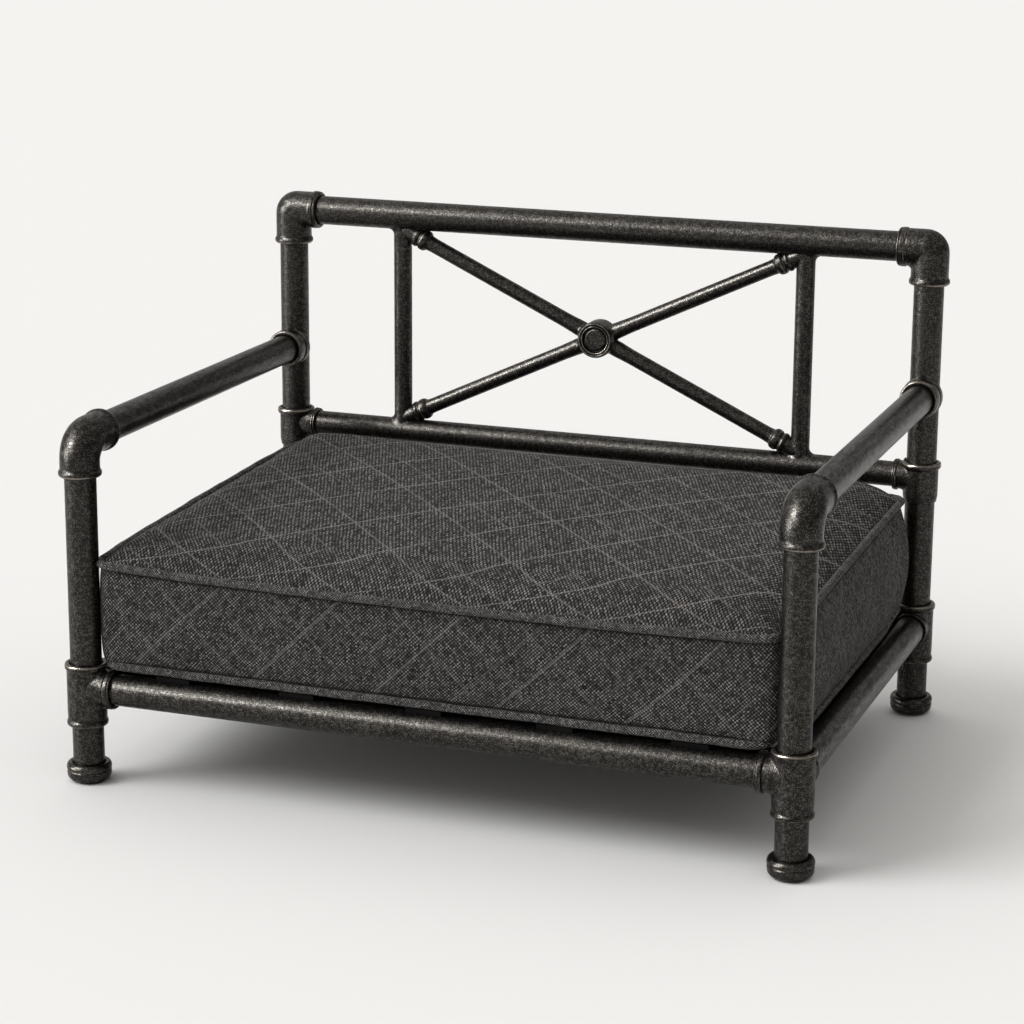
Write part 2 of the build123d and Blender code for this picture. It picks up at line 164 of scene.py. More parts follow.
class Shell:
    """Collects closed skins into one piece, with a wear value at each point."""

    SIDES = 56
    SINK = 0.15
    FILLET_STEPS = 6
    FILLET_POWER = 1.5
    CORE_SHARE = 0.5
    SHARP = math.radians(40)

    def __init__(self) -> None:
        """Starts with nothing."""
        self.points: list[Array] = []
        self.wear: list[Array] = []
        self.faces: list[tuple[int, ...]] = []
        self.count = 0

    def angles(self) -> Array:
        """Angles of one ring's points."""
        return np.linspace(0, 2 * math.pi, self.SIDES, endpoint=False)

    def skin(self, rings: Sequence[Array], wear: Sequence[float], loop: bool = False) -> None:
        """Covers a row of rings with faces.

        Args:
            rings: rings of points, all of one length, anticlockwise about the way they run.
            wear: one value for each ring.
            loop: whether the last ring joins the first; otherwise both ends are capped.
        """
        stack = np.array(rings)
        rows, sides = stack.shape[:2]
        base = self.count
        self.points.append(stack.reshape(-1, 3))
        self.wear.append(np.repeat(np.array(wear, float), sides))
        self.count += rows * sides
        for row in range(rows if loop else rows - 1):
            a, b = base + row * sides, base + (row + 1) % rows * sides
            for j in range(sides):
                k = (j + 1) % sides
                self.faces.append((a + j, a + k, b + k, b + j))
        if not loop:
            self.faces.append(tuple(base + j for j in reversed(range(sides))))
            self.faces.append(tuple(base + (rows - 1) * sides + j for j in range(sides)))

    def turn(self, seat: Seat, knots: Sequence[Knot], loop: bool = False) -> None:
        """Adds a solid of revolution.

        Args:
            seat: its place and direction.
            knots: its outline.
            loop: whether the outline is closed, as on a ring.
        """
        spots, wear = rounded(knots)
        angle = self.angles()
        self.skin([seat.ring(r, t, angle) for r, t in spots], wear, loop)

    def foot(self, seat: Seat, run_radius: float, radius: float, fillet: Array) -> list[Array]:
        """Rings of a filleted foot, from the face of a round run out to a branch's own radius.

        Args:
            seat: the branch's place; its first direction lies along the run.
            run_radius: radius of the run that the branch leaves.
            radius: radius of the branch.
            fillet: size of the fillet at each angle.

        Returns:
            Rings in the order that they leave the run.
        """
        angle = self.angles()
        rings = []
        for step in range(self.FILLET_STEPS + 1):
            turn = 0.5 * math.pi * step / self.FILLET_STEPS
            r = radius + fillet * (1 - math.sin(turn))
            base = np.sqrt(np.maximum(run_radius**2 - (r * np.sin(angle)) ** 2, 0.0))
            rings.append(seat.ring(r, base - self.SINK + fillet * (1 - math.cos(turn)), angle))
        return rings

    def branch(
        self, seat: Seat, run_radius: float, fillet: float, knots: Sequence[Knot], under_only: bool = False
    ) -> None:
        """Adds a branch that leaves a round run with a cast fillet.

        Args:
            seat: the branch's place; its first direction lies along the run.
            run_radius: radius of the run.
            fillet: size of the fillet along the run.
            knots: outline of the branch beyond the fillet.
            under_only: whether only the side of the first direction has a fillet.
        """
        angle = self.angles()
        lean = np.cos(angle)
        share = (np.maximum(lean, 0) if under_only else np.abs(lean)) ** self.FILLET_POWER
        radius = knots[0].radius
        rings = [seat.ring(self.CORE_SHARE * radius, 0.0, angle)]
        rings += self.foot(seat, run_radius, radius, fillet * share)
        spots, wear = rounded(knots)
        rings += [seat.ring(r, t, angle) for r, t in spots]
        self.skin(rings, [0.0] * (len(rings) - len(wear)) + list(wear))

    def sweep(
        self, centres: Array, runs: Array, side: Triple, radii: Sequence[float], wear: Sequence[float]
    ) -> None:
        """Adds a round form along a route that bends in one plane.

        Args:
            centres: centre of each ring.
            runs: direction of the route at each ring.
            side: direction across the plane of the bend.
            radii: radius of each ring.
            wear: wear of each ring.
        """
        angle = self.angles()
        seats = [Seat(tuple(c), tuple(d), side) for c, d in zip(centres, runs)]
        self.skin([s.ring(r, 0.0, angle) for s, r in zip(seats, radii)], wear)

    def mirror(self) -> None:
        """Adds the left-hand copy of everything so far."""
        base, faces = self.count, list(self.faces)
        points = np.concatenate(self.points)
        self.points.append(points * np.array((-1.0, 1.0, 1.0)))
        self.wear.append(np.concatenate(self.wear))
        self.faces += [tuple(base + i for i in reversed(face)) for face in faces]
        self.count *= 2

    def pair(self, name: str) -> Piece:
        """Adds the left-hand copy and makes the Blender object; see piece."""
        self.mirror()
        return self.piece(name)

    def piece(self, name: str) -> Piece:
        """Makes the Blender object.

        Args:
            name: name of the piece.

        Returns:
            The new object, shaded smooth with sharp corners kept.
        """
        mesh = bpy.data.meshes.new(name)
        mesh.from_pydata((np.concatenate(self.points) * MM).tolist(), [], self.faces)
        mesh.polygons.foreach_set("use_smooth", [True] * len(mesh.polygons))
        mesh.set_sharp_from_angle(angle=self.SHARP)
        worn = mesh.attributes.new("wear", "FLOAT", "POINT")
        worn.data.foreach_set("value", np.concatenate(self.wear).astype(np.float32))
        return link(name, mesh)


def link(name: str, mesh: Mesh) -> Piece:
    """Puts a mesh into the scene as an object.

    Args:
        name: name of the object.
        mesh: its mesh.

    Returns:
        The object.
    """
    piece = bpy.data.objects.new(name, mesh)
    bpy.context.scene.collection.objects.link(piece)
    return piece


def cloth_piece(name: str, points: Array, faces: Sequence[tuple], places: Sequence[tuple]) -> Piece:
    """Makes a piece of cloth, with a flat place for its weave at each corner of each face.

    Args:
        name: name of the object.
        points: its points in millimetres.
        faces: its faces as point numbers.
        places: flat places in millimetres, in the order of the faces' corners.

    Returns:
        The object, shaded smooth.
    """
    mesh = bpy.data.meshes.new(name)
    mesh.from_pydata((points * MM).tolist(), [], faces)
    flat = (np.array(places) * MM).astype(np.float32)
    mesh.uv_layers.new(name="cloth").data.foreach_set("uv", flat.ravel())
    mesh.polygons.foreach_set("use_smooth", [True] * len(mesh.polygons))
    return link(name, mesh)


def settle(piece: Piece, body: Body, slot: Slot, finish: Material, *nodes: str) -> None:
    """Dresses a piece, seats it on its body and lets it stand for CAD nodes.

    Args:
        piece: the object.
        body: the body that it rides on.
        slot: not used.
        finish: its material.
        nodes: CAD nodes that it stands for.
    """
    piece.data.materials.clear()
    piece.data.materials.append(finish)
    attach(piece, body.value)
    if nodes:
        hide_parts(*nodes)
    LOG.info("%s rides on %s, %d faces", piece.name, body.value, len(piece.data.polygons))


# Shader node groups


class Sheet:
    """A node tree that is wired by short calls."""

    def __init__(self, tree: Tree) -> None:
        """Keeps the tree."""
        self.tree = tree

    def fill(self, node: Node, sockets: dict) -> Node:
        """Sets or links inputs of a node.

        Args:
            node: the node.
            sockets: input name or number, with the value or the output that feeds it.

        Returns:
            The same node.
        """
        for key, value in sockets.items():
            if isinstance(value, Socket):
                self.tree.links.new(value, node.inputs[key])
            else:
                node.inputs[key].default_value = value
        return node

    def put(self, kind: str, sockets: Optional[dict] = None, **settings: object) -> Node:
        """Adds a node.

        Args:
            kind: the node's type, without the leading ShaderNode.
            sockets: input name or number, with the value or the output that feeds it.
            settings: properties of the node.

        Returns:
            The node.
        """
        node = self.tree.nodes.new(kind if kind.startswith("NodeGroup") else "ShaderNode" + kind)
        for key, value in settings.items():
            setattr(node, key, value)
        return self.fill(node, sockets or {})

    def group(self, tree: Tree, **sockets: object) -> Node:
        """Adds a node group, with its inputs set or linked."""
        return self.put("Group", sockets, node_tree=tree)

    def math(self, operation: str, *values: object) -> Socket:
        """One sum, as an output."""
        return self.put("Math", dict(enumerate(values)), operation=operation).outputs[0]

    def times(self, first: object, second: object) -> Socket:
        """A product of two numbers, as an output."""
        return self.math("MULTIPLY", first, second)

    def vector(self, operation: str, first: object, second: object) -> Socket:
        """One sum of two vectors, as an output."""
        return self.put("VectorMath", {0: first, 1: second}, operation=operation).outputs[0]

    def scaled(self, first: object, scale: object) -> Socket:
        """A vector times a number, as an output."""
        return self.put("VectorMath", {0: first, "Scale": scale}, operation="SCALE").outputs[0]

    def turned(self, vector: Socket) -> Socket:
        """A vector turned onto the bias of the cloth, as an output."""
        sockets = {"Vector": vector, "Angle": BIAS}
        return self.put("VectorRotate", sockets, rotation_type="Z_AXIS").outputs[0]

    def axis(self, vector: Socket, index: int) -> Socket:
        """One part of a vector, as an output."""
        return self.put("SeparateXYZ", {0: vector}).outputs[index]

    def ramp(self, value: object, low: float, high: float, start: float = 0.0, end: float = 1.0) -> Socket:
        """A smooth step of a value between two limits, as an output."""
        sockets = {0: value, 1: low, 2: high, 3: start, 4: end}
        return self.put("MapRange", sockets, interpolation_type="SMOOTHSTEP").outputs[0]

    def noise(self, vector: object, scale: object, detail: float = 3.0, rough: float = 0.55) -> Socket:
        """Plain noise of a point, as an output."""
        sockets = {"Vector": vector, "Scale": scale, "Detail": detail, "Roughness": rough}
        return self.put("TexNoise", sockets).outputs[0]

    def cloud(self, vector: Socket, scale: float, detail: float) -> Socket:
        """Noise of a point with three parts, as an output."""
        return self.put("TexNoise", {"Vector": vector, "Scale": scale, "Detail": detail}).outputs["Color"]

    def mix(self, share: object, low: object, high: object) -> Socket:
        """A mix of two numbers, as an output."""
        return self.put("Mix", {0: share, 2: low, 3: high}, data_type="FLOAT").outputs[0]

    def blend(self, share: object, low: object, high: object) -> Socket:
        """A mix of two colours, as an output."""
        low, high = ((*tone, 1.0) if isinstance(tone, tuple) else tone for tone in (low, high))
        return self.put("Mix", {0: share, 6: low, 7: high}, data_type="RGBA").outputs[2]

    def bump(self, height: Socket, strength: float, distance: float) -> Socket:
        """A normal bent by a height, as an output."""
        return self.put("Bump", {"Strength": strength, "Distance": distance, "Height": height}).outputs[0]

    def point(self) -> Socket:
        """The place on the object, as an output."""
        return self.put("TexCoord").outputs["Object"]


class Group(Sheet):
    """A shader node group that gives numbers."""

    def __init__(self, name: str, inputs: dict[str, Optional[float]], outputs: Sequence[str]) -> None:
        """Starts the group.

        Args:
            name: name of the group.
            inputs: input names with their defaults; None stands for a vector.
            outputs: output names.
        """
        super().__init__(bpy.data.node_groups.new(name, "ShaderNodeTree"))
        for key, value in inputs.items():
            kind = "NodeSocketVector" if value is None else "NodeSocketFloat"
            socket = self.tree.interface.new_socket(key, in_out="INPUT", socket_type=kind)
            if value is not None:
                socket.default_value = value
        for key in outputs:
            self.tree.interface.new_socket(key, in_out="OUTPUT", socket_type="NodeSocketFloat")
        self.taken = self.put("NodeGroupInput").outputs
        self.end = self.put("NodeGroupOutput")

    def close(self, **outputs: Socket) -> Tree:
        """Links the outputs and gives the finished tree."""
        self.fill(self.end, outputs)
        return self.tree


class Paint(Sheet):
    """A material under way: its tree and its shader."""

    def __init__(self, name: str) -> None:
        """Starts a material.

        Args:
            name: name of the material.
        """
        self.material = bpy.data.materials.new(name)
        self.material.use_nodes = True
        super().__init__(self.material.node_tree)
        self.shader = next(n for n in self.tree.nodes if n.type == "BSDF_PRINCIPLED")

    def close(self, sockets: dict[str, object]) -> Material:
        """Sets or links the shader's own inputs and gives the finished material."""
        self.fill(self.shader, sockets)
        return self.material


class Effects:
    """The node groups that several finishes share.

    Places on the cloth are metres. The boxing's places start at one metre, far from the panels'.
    """

    SLANT = (1.0, 0.42, 1.0)
    SHOULDER_END = 0.215
    SHOULDER_SHARE = 0.5
    BOXING = (0.8, 0.9)
    BOXING_LINES = 0.42
    SHOULDER_FOLD = (-0.2737, -0.2197)
    SHOULDER_LEAN = (0.0236, -0.065, 0.0)
    SHOULDER_POWER = 2.2

    def __init__(self) -> None:
        """Builds each group once."""
        self.cast = self.cast_grain()
        self.worn = self.edge_wear()
        self.weave = self.cloth_weave()
        self.panes = self.pane_lines()
        self.seams = self.painted_seam_shade()

    def cast_grain(self) -> Tree:
        """Sand-cast skin: fine grain drawn out along the sides, pits and slow changes of tone."""
        sheet = Group("cast grain", {"Grain": 520.0, "Pits": 0.5}, ("Height", "Speckle", "Tone"))
        grain = sheet.taken["Grain"]
        point = sheet.vector("MULTIPLY", sheet.point(), self.SLANT)
        fine = sheet.noise(point, grain, 2.0, 0.6)
        coarse = sheet.noise(point, sheet.times(grain, 0.28), 2.0, 0.5)
        pits = sheet.ramp(sheet.noise(point, sheet.times(grain, 0.55), 1.0), 0.34, 0.22)
        height = sheet.math("ADD", sheet.times(fine, 0.6), sheet.times(coarse, 0.7))
        height = sheet.math("SUBTRACT", height, sheet.times(pits, sheet.taken["Pits"]))
        speckle = sheet.ramp(sheet.math("ADD", fine, sheet.times(coarse, 0.35)), 0.66, 0.82)
        tone = sheet.ramp(sheet.noise(point, 23.0, 4.0, 0.6), 0.3, 0.72)
        return sheet.close(Height=height, Speckle=speckle, Tone=tone)

    def edge_wear(self) -> Tree:
        """Rubbed edges, from the wear that each piece carries at its points."""
        sheet = Group("edge wear", {"Amount": 1.0}, ("Mask",))
        worn = sheet.put("Attribute", attribute_name="wear").outputs["Fac"]
        broken = sheet.noise(sheet.point(), 95.0, 4.0, 0.65)
        worn = sheet.times(worn, sheet.taken["Amount"])
        mask = sheet.ramp(sheet.math("ADD", worn, sheet.times(broken, 0.8)), 0.98, 1.5)
        return sheet.close(Mask=sheet.times(mask, sheet.ramp(worn, 0.02, 0.35)))

    def drawn_place(self, sheet: Group) -> Socket:
        """A place on the cloth, with the threads of the top drawn longer from front to back.

        Args:
            sheet: the weave's group, with inputs Vector and Draw.

        Returns:
            The place, as an output.
        """
        vector, draw = sheet.taken["Vector"], sheet.taken["Draw"]
        depth = sheet.axis(vector, 1)
        near = sheet.math("MINIMUM", sheet.math("ADD", depth, self.SHOULDER_END), 0.0)
        longer = sheet.times(sheet.times(near, sheet.math("SUBTRACT", 1.0, draw)), self.SHOULDER_SHARE)
        longer = sheet.math("MULTIPLY_ADD", depth, draw, longer)
        longer = sheet.mix(sheet.ramp(depth, *self.BOXING), longer, depth)
        return sheet.put("CombineXYZ", {0: sheet.axis(vector, 0), 1: longer}).outputs[0]

    def cloth_weave(self) -> Tree:
        """Basket weave on the bias, with slubs along both threads."""
        sheet = Group("cloth weave", {"Vector": None, "Pitch": 0.0025, "Draw": 1.0}, ("Height", "Tone"))
        turned = sheet.turned(self.drawn_place(sheet))
        turned = sheet.vector("ADD", turned, sheet.scaled(sheet.cloud(turned, 90.0, 2.0), 0.002))
        places = [sheet.math("DIVIDE", sheet.axis(turned, way), sheet.taken["Pitch"]) for way in (0, 1)]
        warp, weft = (sheet.math("ABSOLUTE", sheet.math("SINE", sheet.times(n, math.pi))) for n in places)
        column, row = (sheet.math("FLOOR", n) for n in places)
        odd = sheet.math("FLOORED_MODULO", sheet.math("ADD", column, row), 2.0)
        over, across = sheet.mix(odd, warp, weft), sheet.mix(odd, weft, warp)
        height = sheet.times(over, sheet.math("ADD", sheet.times(across, 0.45), 0.55))
        cell = sheet.put("CombineXYZ", {0: column, 1: row}).outputs[0]
        chance = sheet.put("TexWhiteNoise", {"Vector": cell}, noise_dimensions="2D").outputs["Value"]
        stretches = ((1.0, 0.06, 1.0), (0.06, 1.0, 1.0))
        streaks = [sheet.noise(sheet.vector("MULTIPLY", turned, s), 420.0, 2.0, 0.6) for s in stretches]
        thread = sheet.ramp(sheet.mix(odd, *streaks), 0.3, 0.7, 0.0, 0.35)
        tone = sheet.times(sheet.ramp(height, 0.45, 0.9), sheet.math("MULTIPLY_ADD", chance, 0.8, thread))
        drawn = sheet.vector("MULTIPLY", sheet.taken["Vector"], (1.0, 0.3, 1.0))
        slubs = sheet.ramp(sheet.noise(drawn, 260.0, 3.0, 0.7), 0.3, 0.7, 0.4, 1.65)
        return sheet.close(Height=height, Tone=sheet.times(tone, slubs))

    def pane_lines(self) -> Tree:
        """A bias windowpane check: thin lines two ways, the second set of each way fainter and broken.

        The lines lean over on the front shoulder, so that they look straight from the photograph's angle.
        """
        sheet = Group("pane lines", {"Vector": None, "Pitch": 0.094, "Width": 0.0011}, ("Mask",))
        vector, pitch = sheet.taken["Vector"], sheet.taken["Pitch"]
        drift = sheet.vector("SUBTRACT", sheet.cloud(vector, 4.5, 1.0), (0.5, 0.5, 0.5))
        place = sheet.vector("ADD", vector, sheet.scaled(drift, 0.006))
        depth = sheet.axis(vector, 1)
        fold = sheet.put("MapRange", dict(enumerate((depth, *self.SHOULDER_FOLD, 1.0, 0.0)))).outputs[0]
        lean = sheet.scaled(self.SHOULDER_LEAN, sheet.math("POWER", fold, self.SHOULDER_POWER))
        turned = sheet.turned(sheet.vector("ADD", place, lean))
        gaps = sheet.noise(vector, 9.0, 2.0)
        edge = sheet.times(sheet.taken["Width"], 2.0)
        lines = []
        for way in (0, 1):
            along = sheet.math("DIVIDE", sheet.axis(turned, way), pitch)
            for shift, strength in ((0.0, 1.0 - 0.35 * way), (0.36 + 0.2 * way, 0.45)):
                off = sheet.math("PINGPONG", sheet.math("ADD", along, shift), 0.5)
                line = sheet.ramp(sheet.math("DIVIDE", sheet.times(off, pitch), edge), 0.85, 0.3)
                low, high = (0.47, 0.56) if shift else (0.25, 0.5)
                lines.append(sheet.times(line, sheet.ramp(gaps, low, high, 0.25 * strength, strength)))
        mask = lines[0]
        for line in lines[1:]:
            mask = sheet.math("MAXIMUM", mask, line)
        return sheet.close(Mask=sheet.times(mask, sheet.ramp(depth, *self.BOXING, 1.0, self.BOXING_LINES)))

    def painted_seam_shade(self) -> Tree:
        """Painted shade in the folds where the boxing goes under each welt."""
        sheet = Group("painted seam shade", {"Vector": None}, ("Mask",))
        height = sheet.axis(sheet.taken["Vector"], 1)
        lower = sheet.times(sheet.ramp(height, 1.0065, 1.0035, 0.0, 0.8), sheet.ramp(height, 0.95, 0.99))
        return sheet.close(Mask=sheet.math("MAXIMUM", sheet.ramp(height, 1.0995, 1.1025, 0.0, 0.92), lower))


# Finishes


class Finish:
    """What all finishes have: a way to make their material."""

    def material(self, effects: Effects) -> Material:
        """Builds the material.

        Args:
            effects: the shared node groups.

        Returns:
            The new material.
        """
        raise NotImplementedError


@dataclass(frozen=True)
class Iron(Finish):
    """Blackened cast iron: dark, speckled, a little brown, bright where it is rubbed."""

    name: str
    deep: Triple = (0.0105, 0.0097, 0.0087)
    face: Triple = (0.028, 0.0258, 0.023)
    speck: Triple = (0.17, 0.157, 0.14)
    rubbed: Triple = (0.27, 0.235, 0.20)
    grain: float = 900.0
    pits: float = 0.4
    wear: float = 1.0
    specks: float = 0.42
    metallic: float = 0.85
    roughness: float = 0.30
    rough_range: float = 0.14
    polish: float = 0.08
    relief: float = 0.00028

    def material(self, effects: Effects) -> Material:
        """Builds the material; see Finish."""
        paint = Paint(self.name)
        cast = paint.group(effects.cast, Grain=self.grain, Pits=self.pits).outputs
        worn = paint.group(effects.worn, Amount=self.wear).outputs["Mask"]
        height = cast["Height"]
        share = paint.math("MULTIPLY_ADD", cast["Tone"], 0.35, paint.times(height, 0.45))
        colour = paint.blend(share, self.deep, self.face)
        colour = paint.blend(paint.times(cast["Speckle"], self.specks), colour, self.speck)
        rough = paint.math("MULTIPLY_ADD", height, self.rough_range, self.roughness - self.rough_range / 2)
        return paint.close({
            "Base Color": paint.blend(worn, colour, self.rubbed),
            "Metallic": self.metallic,
            "Roughness": paint.math("SUBTRACT", rough, paint.times(worn, self.polish)),
            "Specular Tint": paint.ramp(height, 0.5, 0.78, 0.66, 1.0),
            "Normal": paint.bump(height, 0.8, self.relief),
        })


@dataclass(frozen=True)
class Cloth(Finish):
    """Charcoal basket weave with a faint bias check."""

    name: str
    dark: Triple = (0.005, 0.0049, 0.0049)
    light: Triple = (0.25, 0.234, 0.224)
    line: Triple = (0.25, 0.232, 0.222)
    pitch: float = 0.0028
    lines: float = 0.95
    relief: float = 0.0007
    draw: float = 1.0

    def material(self, effects: Effects) -> Material:
        """Builds the material; see Finish."""
        paint = Paint(self.name)
        flat = paint.put("UVMap", uv_map="cloth").outputs[0]
        weave = paint.group(effects.weave, Vector=flat, Pitch=self.pitch, Draw=self.draw).outputs
        colour = paint.blend(weave["Tone"], self.dark, self.light)
        if self.lines:
            panes = paint.group(effects.panes, Vector=flat).outputs["Mask"]
            threads = paint.math("MULTIPLY_ADD", weave["Height"], 0.6, 0.4)
            colour = paint.blend(paint.times(paint.times(panes, threads), self.lines), colour, self.line)
            # Painted shade: the boxing is blended to the dark thread colour along both welts, where the
            # folds are in shadow.
            colour = paint.blend(paint.group(effects.seams, Vector=flat).outputs["Mask"], colour, self.dark)
        patch = paint.ramp(paint.noise(paint.point(), 11.0, 3.0), 0.3, 0.7, 0.0, 0.16)
        return paint.close({
            "Base Color": paint.blend(patch, colour, self.dark),
            "Roughness": paint.math("MULTIPLY_ADD", weave["Tone"], -0.1, 0.95),
            "Sheen Weight": 0.03,
            "Sheen Roughness": 0.5,
            "Specular IOR Level": 0.12,
            "Normal": paint.bump(weave["Height"], 0.9, self.relief),
        })


@dataclass(frozen=True)
class Skin(Finish):
    """A plain finish with a fine grain: powder coat, rubber or lacquer."""

    name: str
    low: Triple
    high: Triple
    grain: float
    roughness: float
    relief: float
    metallic: float = 0.0
    sheen: float = 0.5
    pits: float = 0.15
    rough_range: float = 0.12

    def material(self, effects: Effects) -> Material:
        """Builds the material; see Finish."""
        paint = Paint(self.name)
        cast = paint.group(effects.cast, Grain=self.grain, Pits=self.pits).outputs
        worn = paint.group(effects.worn).outputs["Mask"]
        share = paint.math("MULTIPLY_ADD", cast["Tone"], 0.6, paint.times(cast["Height"], 0.3))
        smoothest = self.roughness - self.rough_range / 2
        return paint.close({
            "Base Color": paint.blend(paint.math("MAXIMUM", share, worn), self.low, self.high),
            "Metallic": self.metallic,
            "Roughness": paint.math("MULTIPLY_ADD", cast["Height"], self.rough_range, smoothest),
            "Specular IOR Level": self.sheen,
            "Normal": paint.bump(cast["Height"], 0.6, self.relief),
        })


class Finishes:
    """All materials of the bed."""

    def __init__(self) -> None:
        """Builds the shared effects and each material."""
        effects = Effects()
        self.pipe = Iron("pipe_iron_blackened", pits=0.35).material(effects)
        self.fitting = Iron("fitting_iron_blackened", grain=780.0, pits=0.5).material(effects)
        self.cover = Cloth("cover_charcoal_check", draw=0.4).material(effects)
        # The welts are the cover's charcoal cloth; their lighter colours are painted light, standing in for
        # the light on their rounded tops.
        self.welt = Cloth(
            "welt_charcoal_bias_painted_light", (0.012, 0.0117, 0.0117), (0.33, 0.31, 0.30), lines=0.0, pitch=0.0021
        ).material(effects)
        self.tape = Cloth(
            "zip_tape_twill", (0.008, 0.008, 0.009), (0.03, 0.03, 0.032),
            lines=0.0, pitch=0.0009, relief=0.0002,
        ).material(effects)
        # Black paint on the slats and deck bars, darkened further as painted shade so that the gap under
        # the cushion reads as deep shadow.
        self.slat = Skin(
            "slat_black_coat_painted_shade", (0.002, 0.002, 0.002), (0.006, 0.006, 0.006), 900.0, 0.8, 0.0002, sheen=0.06
        ).material(effects)
        self.glide = Skin(
            "glide_rubber_matte", (0.010, 0.010, 0.010), (0.028, 0.027, 0.026), 700.0, 0.8, 0.0003
        ).material(effects)
        self.metal = Skin(
            "zip_lacquer_black", (0.02, 0.02, 0.021), (0.09, 0.088, 0.085), 1400.0, 0.32, 0.00008, 0.9
        ).material(effects)


# The frame's castings


@dataclass(frozen=True)
class PipeWork:
    """Sizes that the castings share with the pipes, in millimetres."""

    half_x: float = 383.5
    half_y: float = 270.3
    seat_z: float = 103.7
    back_z: float = 277.6
    arm_z: float = 371.0
    top_z: float = 535.8
    pipe: float = 16.7
    mouth: float = 16.75
    body: float = 20.9
    bead: float = 22.7
    slim_rail: float = 14.2
    spindle_x: float = 243.4

    @property
    def mid_z(self) -> float:
        """Height of the hub."""
        return (self.back_z + self.top_z) / 2


@dataclass(frozen=True)
class FootCap:
    """A pipe cap on each foot: a low dome with a groove below its rolled rim."""

    work: PipeWork
    floor: float = 1.6
    height: float = 21.0
    rim: float = 23.9
    sole: float = 19.6

    def build(self, name: str, y: float) -> Piece:
        """Makes the caps of one end.

        Args:
            name: name of the piece.
            y: place of this end.

        Returns:
            The pair as one object.
        """
        w, top = self.work, self.height
        shell = Shell()
        seat = Seat((w.half_x, y, 0), (0, 0, 1), (1, 0, 0))
        shell.turn(seat, outline(
            (6.0, self.floor), (self.sole, self.floor, 2.4, 0.2), (22.8, 4.8, 3.2), (23.5, 9.0, 2.0),
            (23.5, 12.2, 0.9, 0.3), (22.8, 13.1, 0.4), (22.8, 13.6, 0.4), (self.rim, 14.5, 0.9, 0.8),
            (self.rim, 17.6, 1.8, 0.7), (21.8, top, 1.8, 0.5), (18.0, top - 0.5, 0.8),
            (w.mouth, top - 2.4, 0.8), (w.mouth, top - 9.0),
        ))
        return shell.pair(name)


@dataclass(frozen=True)
class CornerTee:
    """A sleeve on an upright with two filleted outlets that take the seat rails."""

    work: PipeWork
    rise: float = 27.3
    drop: float = 41.7
    outlet: float = 19.6
    reach: float = 35.1
    band: float = 21.3
    fillet: float = 4.2
    side_outlet: float = 18.7
    side_reach: float = 26.5
    side_fillet: float = 2.0

    def run(self) -> list[Knot]:
        """Outline of the upright sleeve, from its lower lip to its upper bead."""
        w, z = self.work, self.work.seat_z
        low, high = z - self.drop, z + self.rise
        return outline(
            (w.mouth, low + 6.0), (w.mouth + 0.3, low + 0.6, 0.6), (18.0, low, 0.6),
            (20.2, low, 1.2, 0.9), (21.9, low + 1.6, 1.5, 0.8), (21.9, low + 4.8, 1.6, 0.3),
            (20.7, low + 6.6, 0.9), (20.6, low + 8.4, 1.2), (w.body, low + 12.5, 3.0),
            (w.body, high - 9.0, 2.0), (21.4, high - 7.2, 0.8), (w.bead, high - 5.8, 2.0, 0.3),
            (w.bead, high - 1.2, 2.4, 1.0), (20.4, high, 1.6, 0.9), (17.9, high - 0.6, 0.8, 0.3),
            (w.mouth, high - 3.4, 0.8), (w.mouth, high - 9.0),
        )

    def stub(self) -> list[Knot]:
        """Outline of an outlet beyond its fillet: stub, groove, band and lip."""
        end = self.reach
        return outline(
            (self.outlet, end - 9.8), (self.outlet, end - 8.6, 0.3),
            (self.outlet - 0.9, end - 8.2, 0.3), (self.outlet - 0.9, end - 7.6, 0.3),
            (self.band, end - 7.0, 1.0, 0.8), (self.band, end - 2.6, 0.8, 0.5),
            (self.band - 0.8, end - 2.2, 0.3), (self.band - 0.8, end - 1.8, 0.3),
            (self.band - 0.3, end - 1.4, 0.4, 0.6), (self.band - 0.9, end, 0.9, 0.7), (17.6, end, 0.6),
            (self.work.mouth, end - 2.0, 0.5), (self.work.mouth, end - 6.0),
        )

    def side_stub(self) -> list[Knot]:
        """Outline of the short outlet towards the side rail: a thin ring close to the sleeve."""
        end = self.side_reach
        return outline(
            (self.side_outlet, end - 3.4), (self.side_outlet + 0.6, end - 2.6, 0.4),
            (self.side_outlet + 0.6, end - 0.6, 0.6, 0.7), (self.side_outlet, end, 0.4, 0.6),
            (17.4, end, 0.4), (self.work.mouth, end - 1.6, 0.4), (self.work.mouth, end - 6.0),
        )

    def build(self, name: str, y: float) -> Piece:
        """Makes the two tees of one end.

        Args:
            name: name of the piece.
            y: place of this end.

        Returns:
            The pair as one object.
        """
        w = self.work
        shell = Shell()
        shell.turn(Seat((w.half_x, y, 0), (0, 0, 1), (1, 0, 0)), self.run())
        centre = (w.half_x, y, w.seat_z)
        along = (0, -math.copysign(1, y), 0)
        shell.branch(Seat(centre, (-1, 0, 0), (0, 0, 1)), w.body, self.fillet, self.stub())
        shell.branch(Seat(centre, along, (0, 0, 1)), w.body, self.side_fillet, self.side_stub())
        return shell.pair(name)


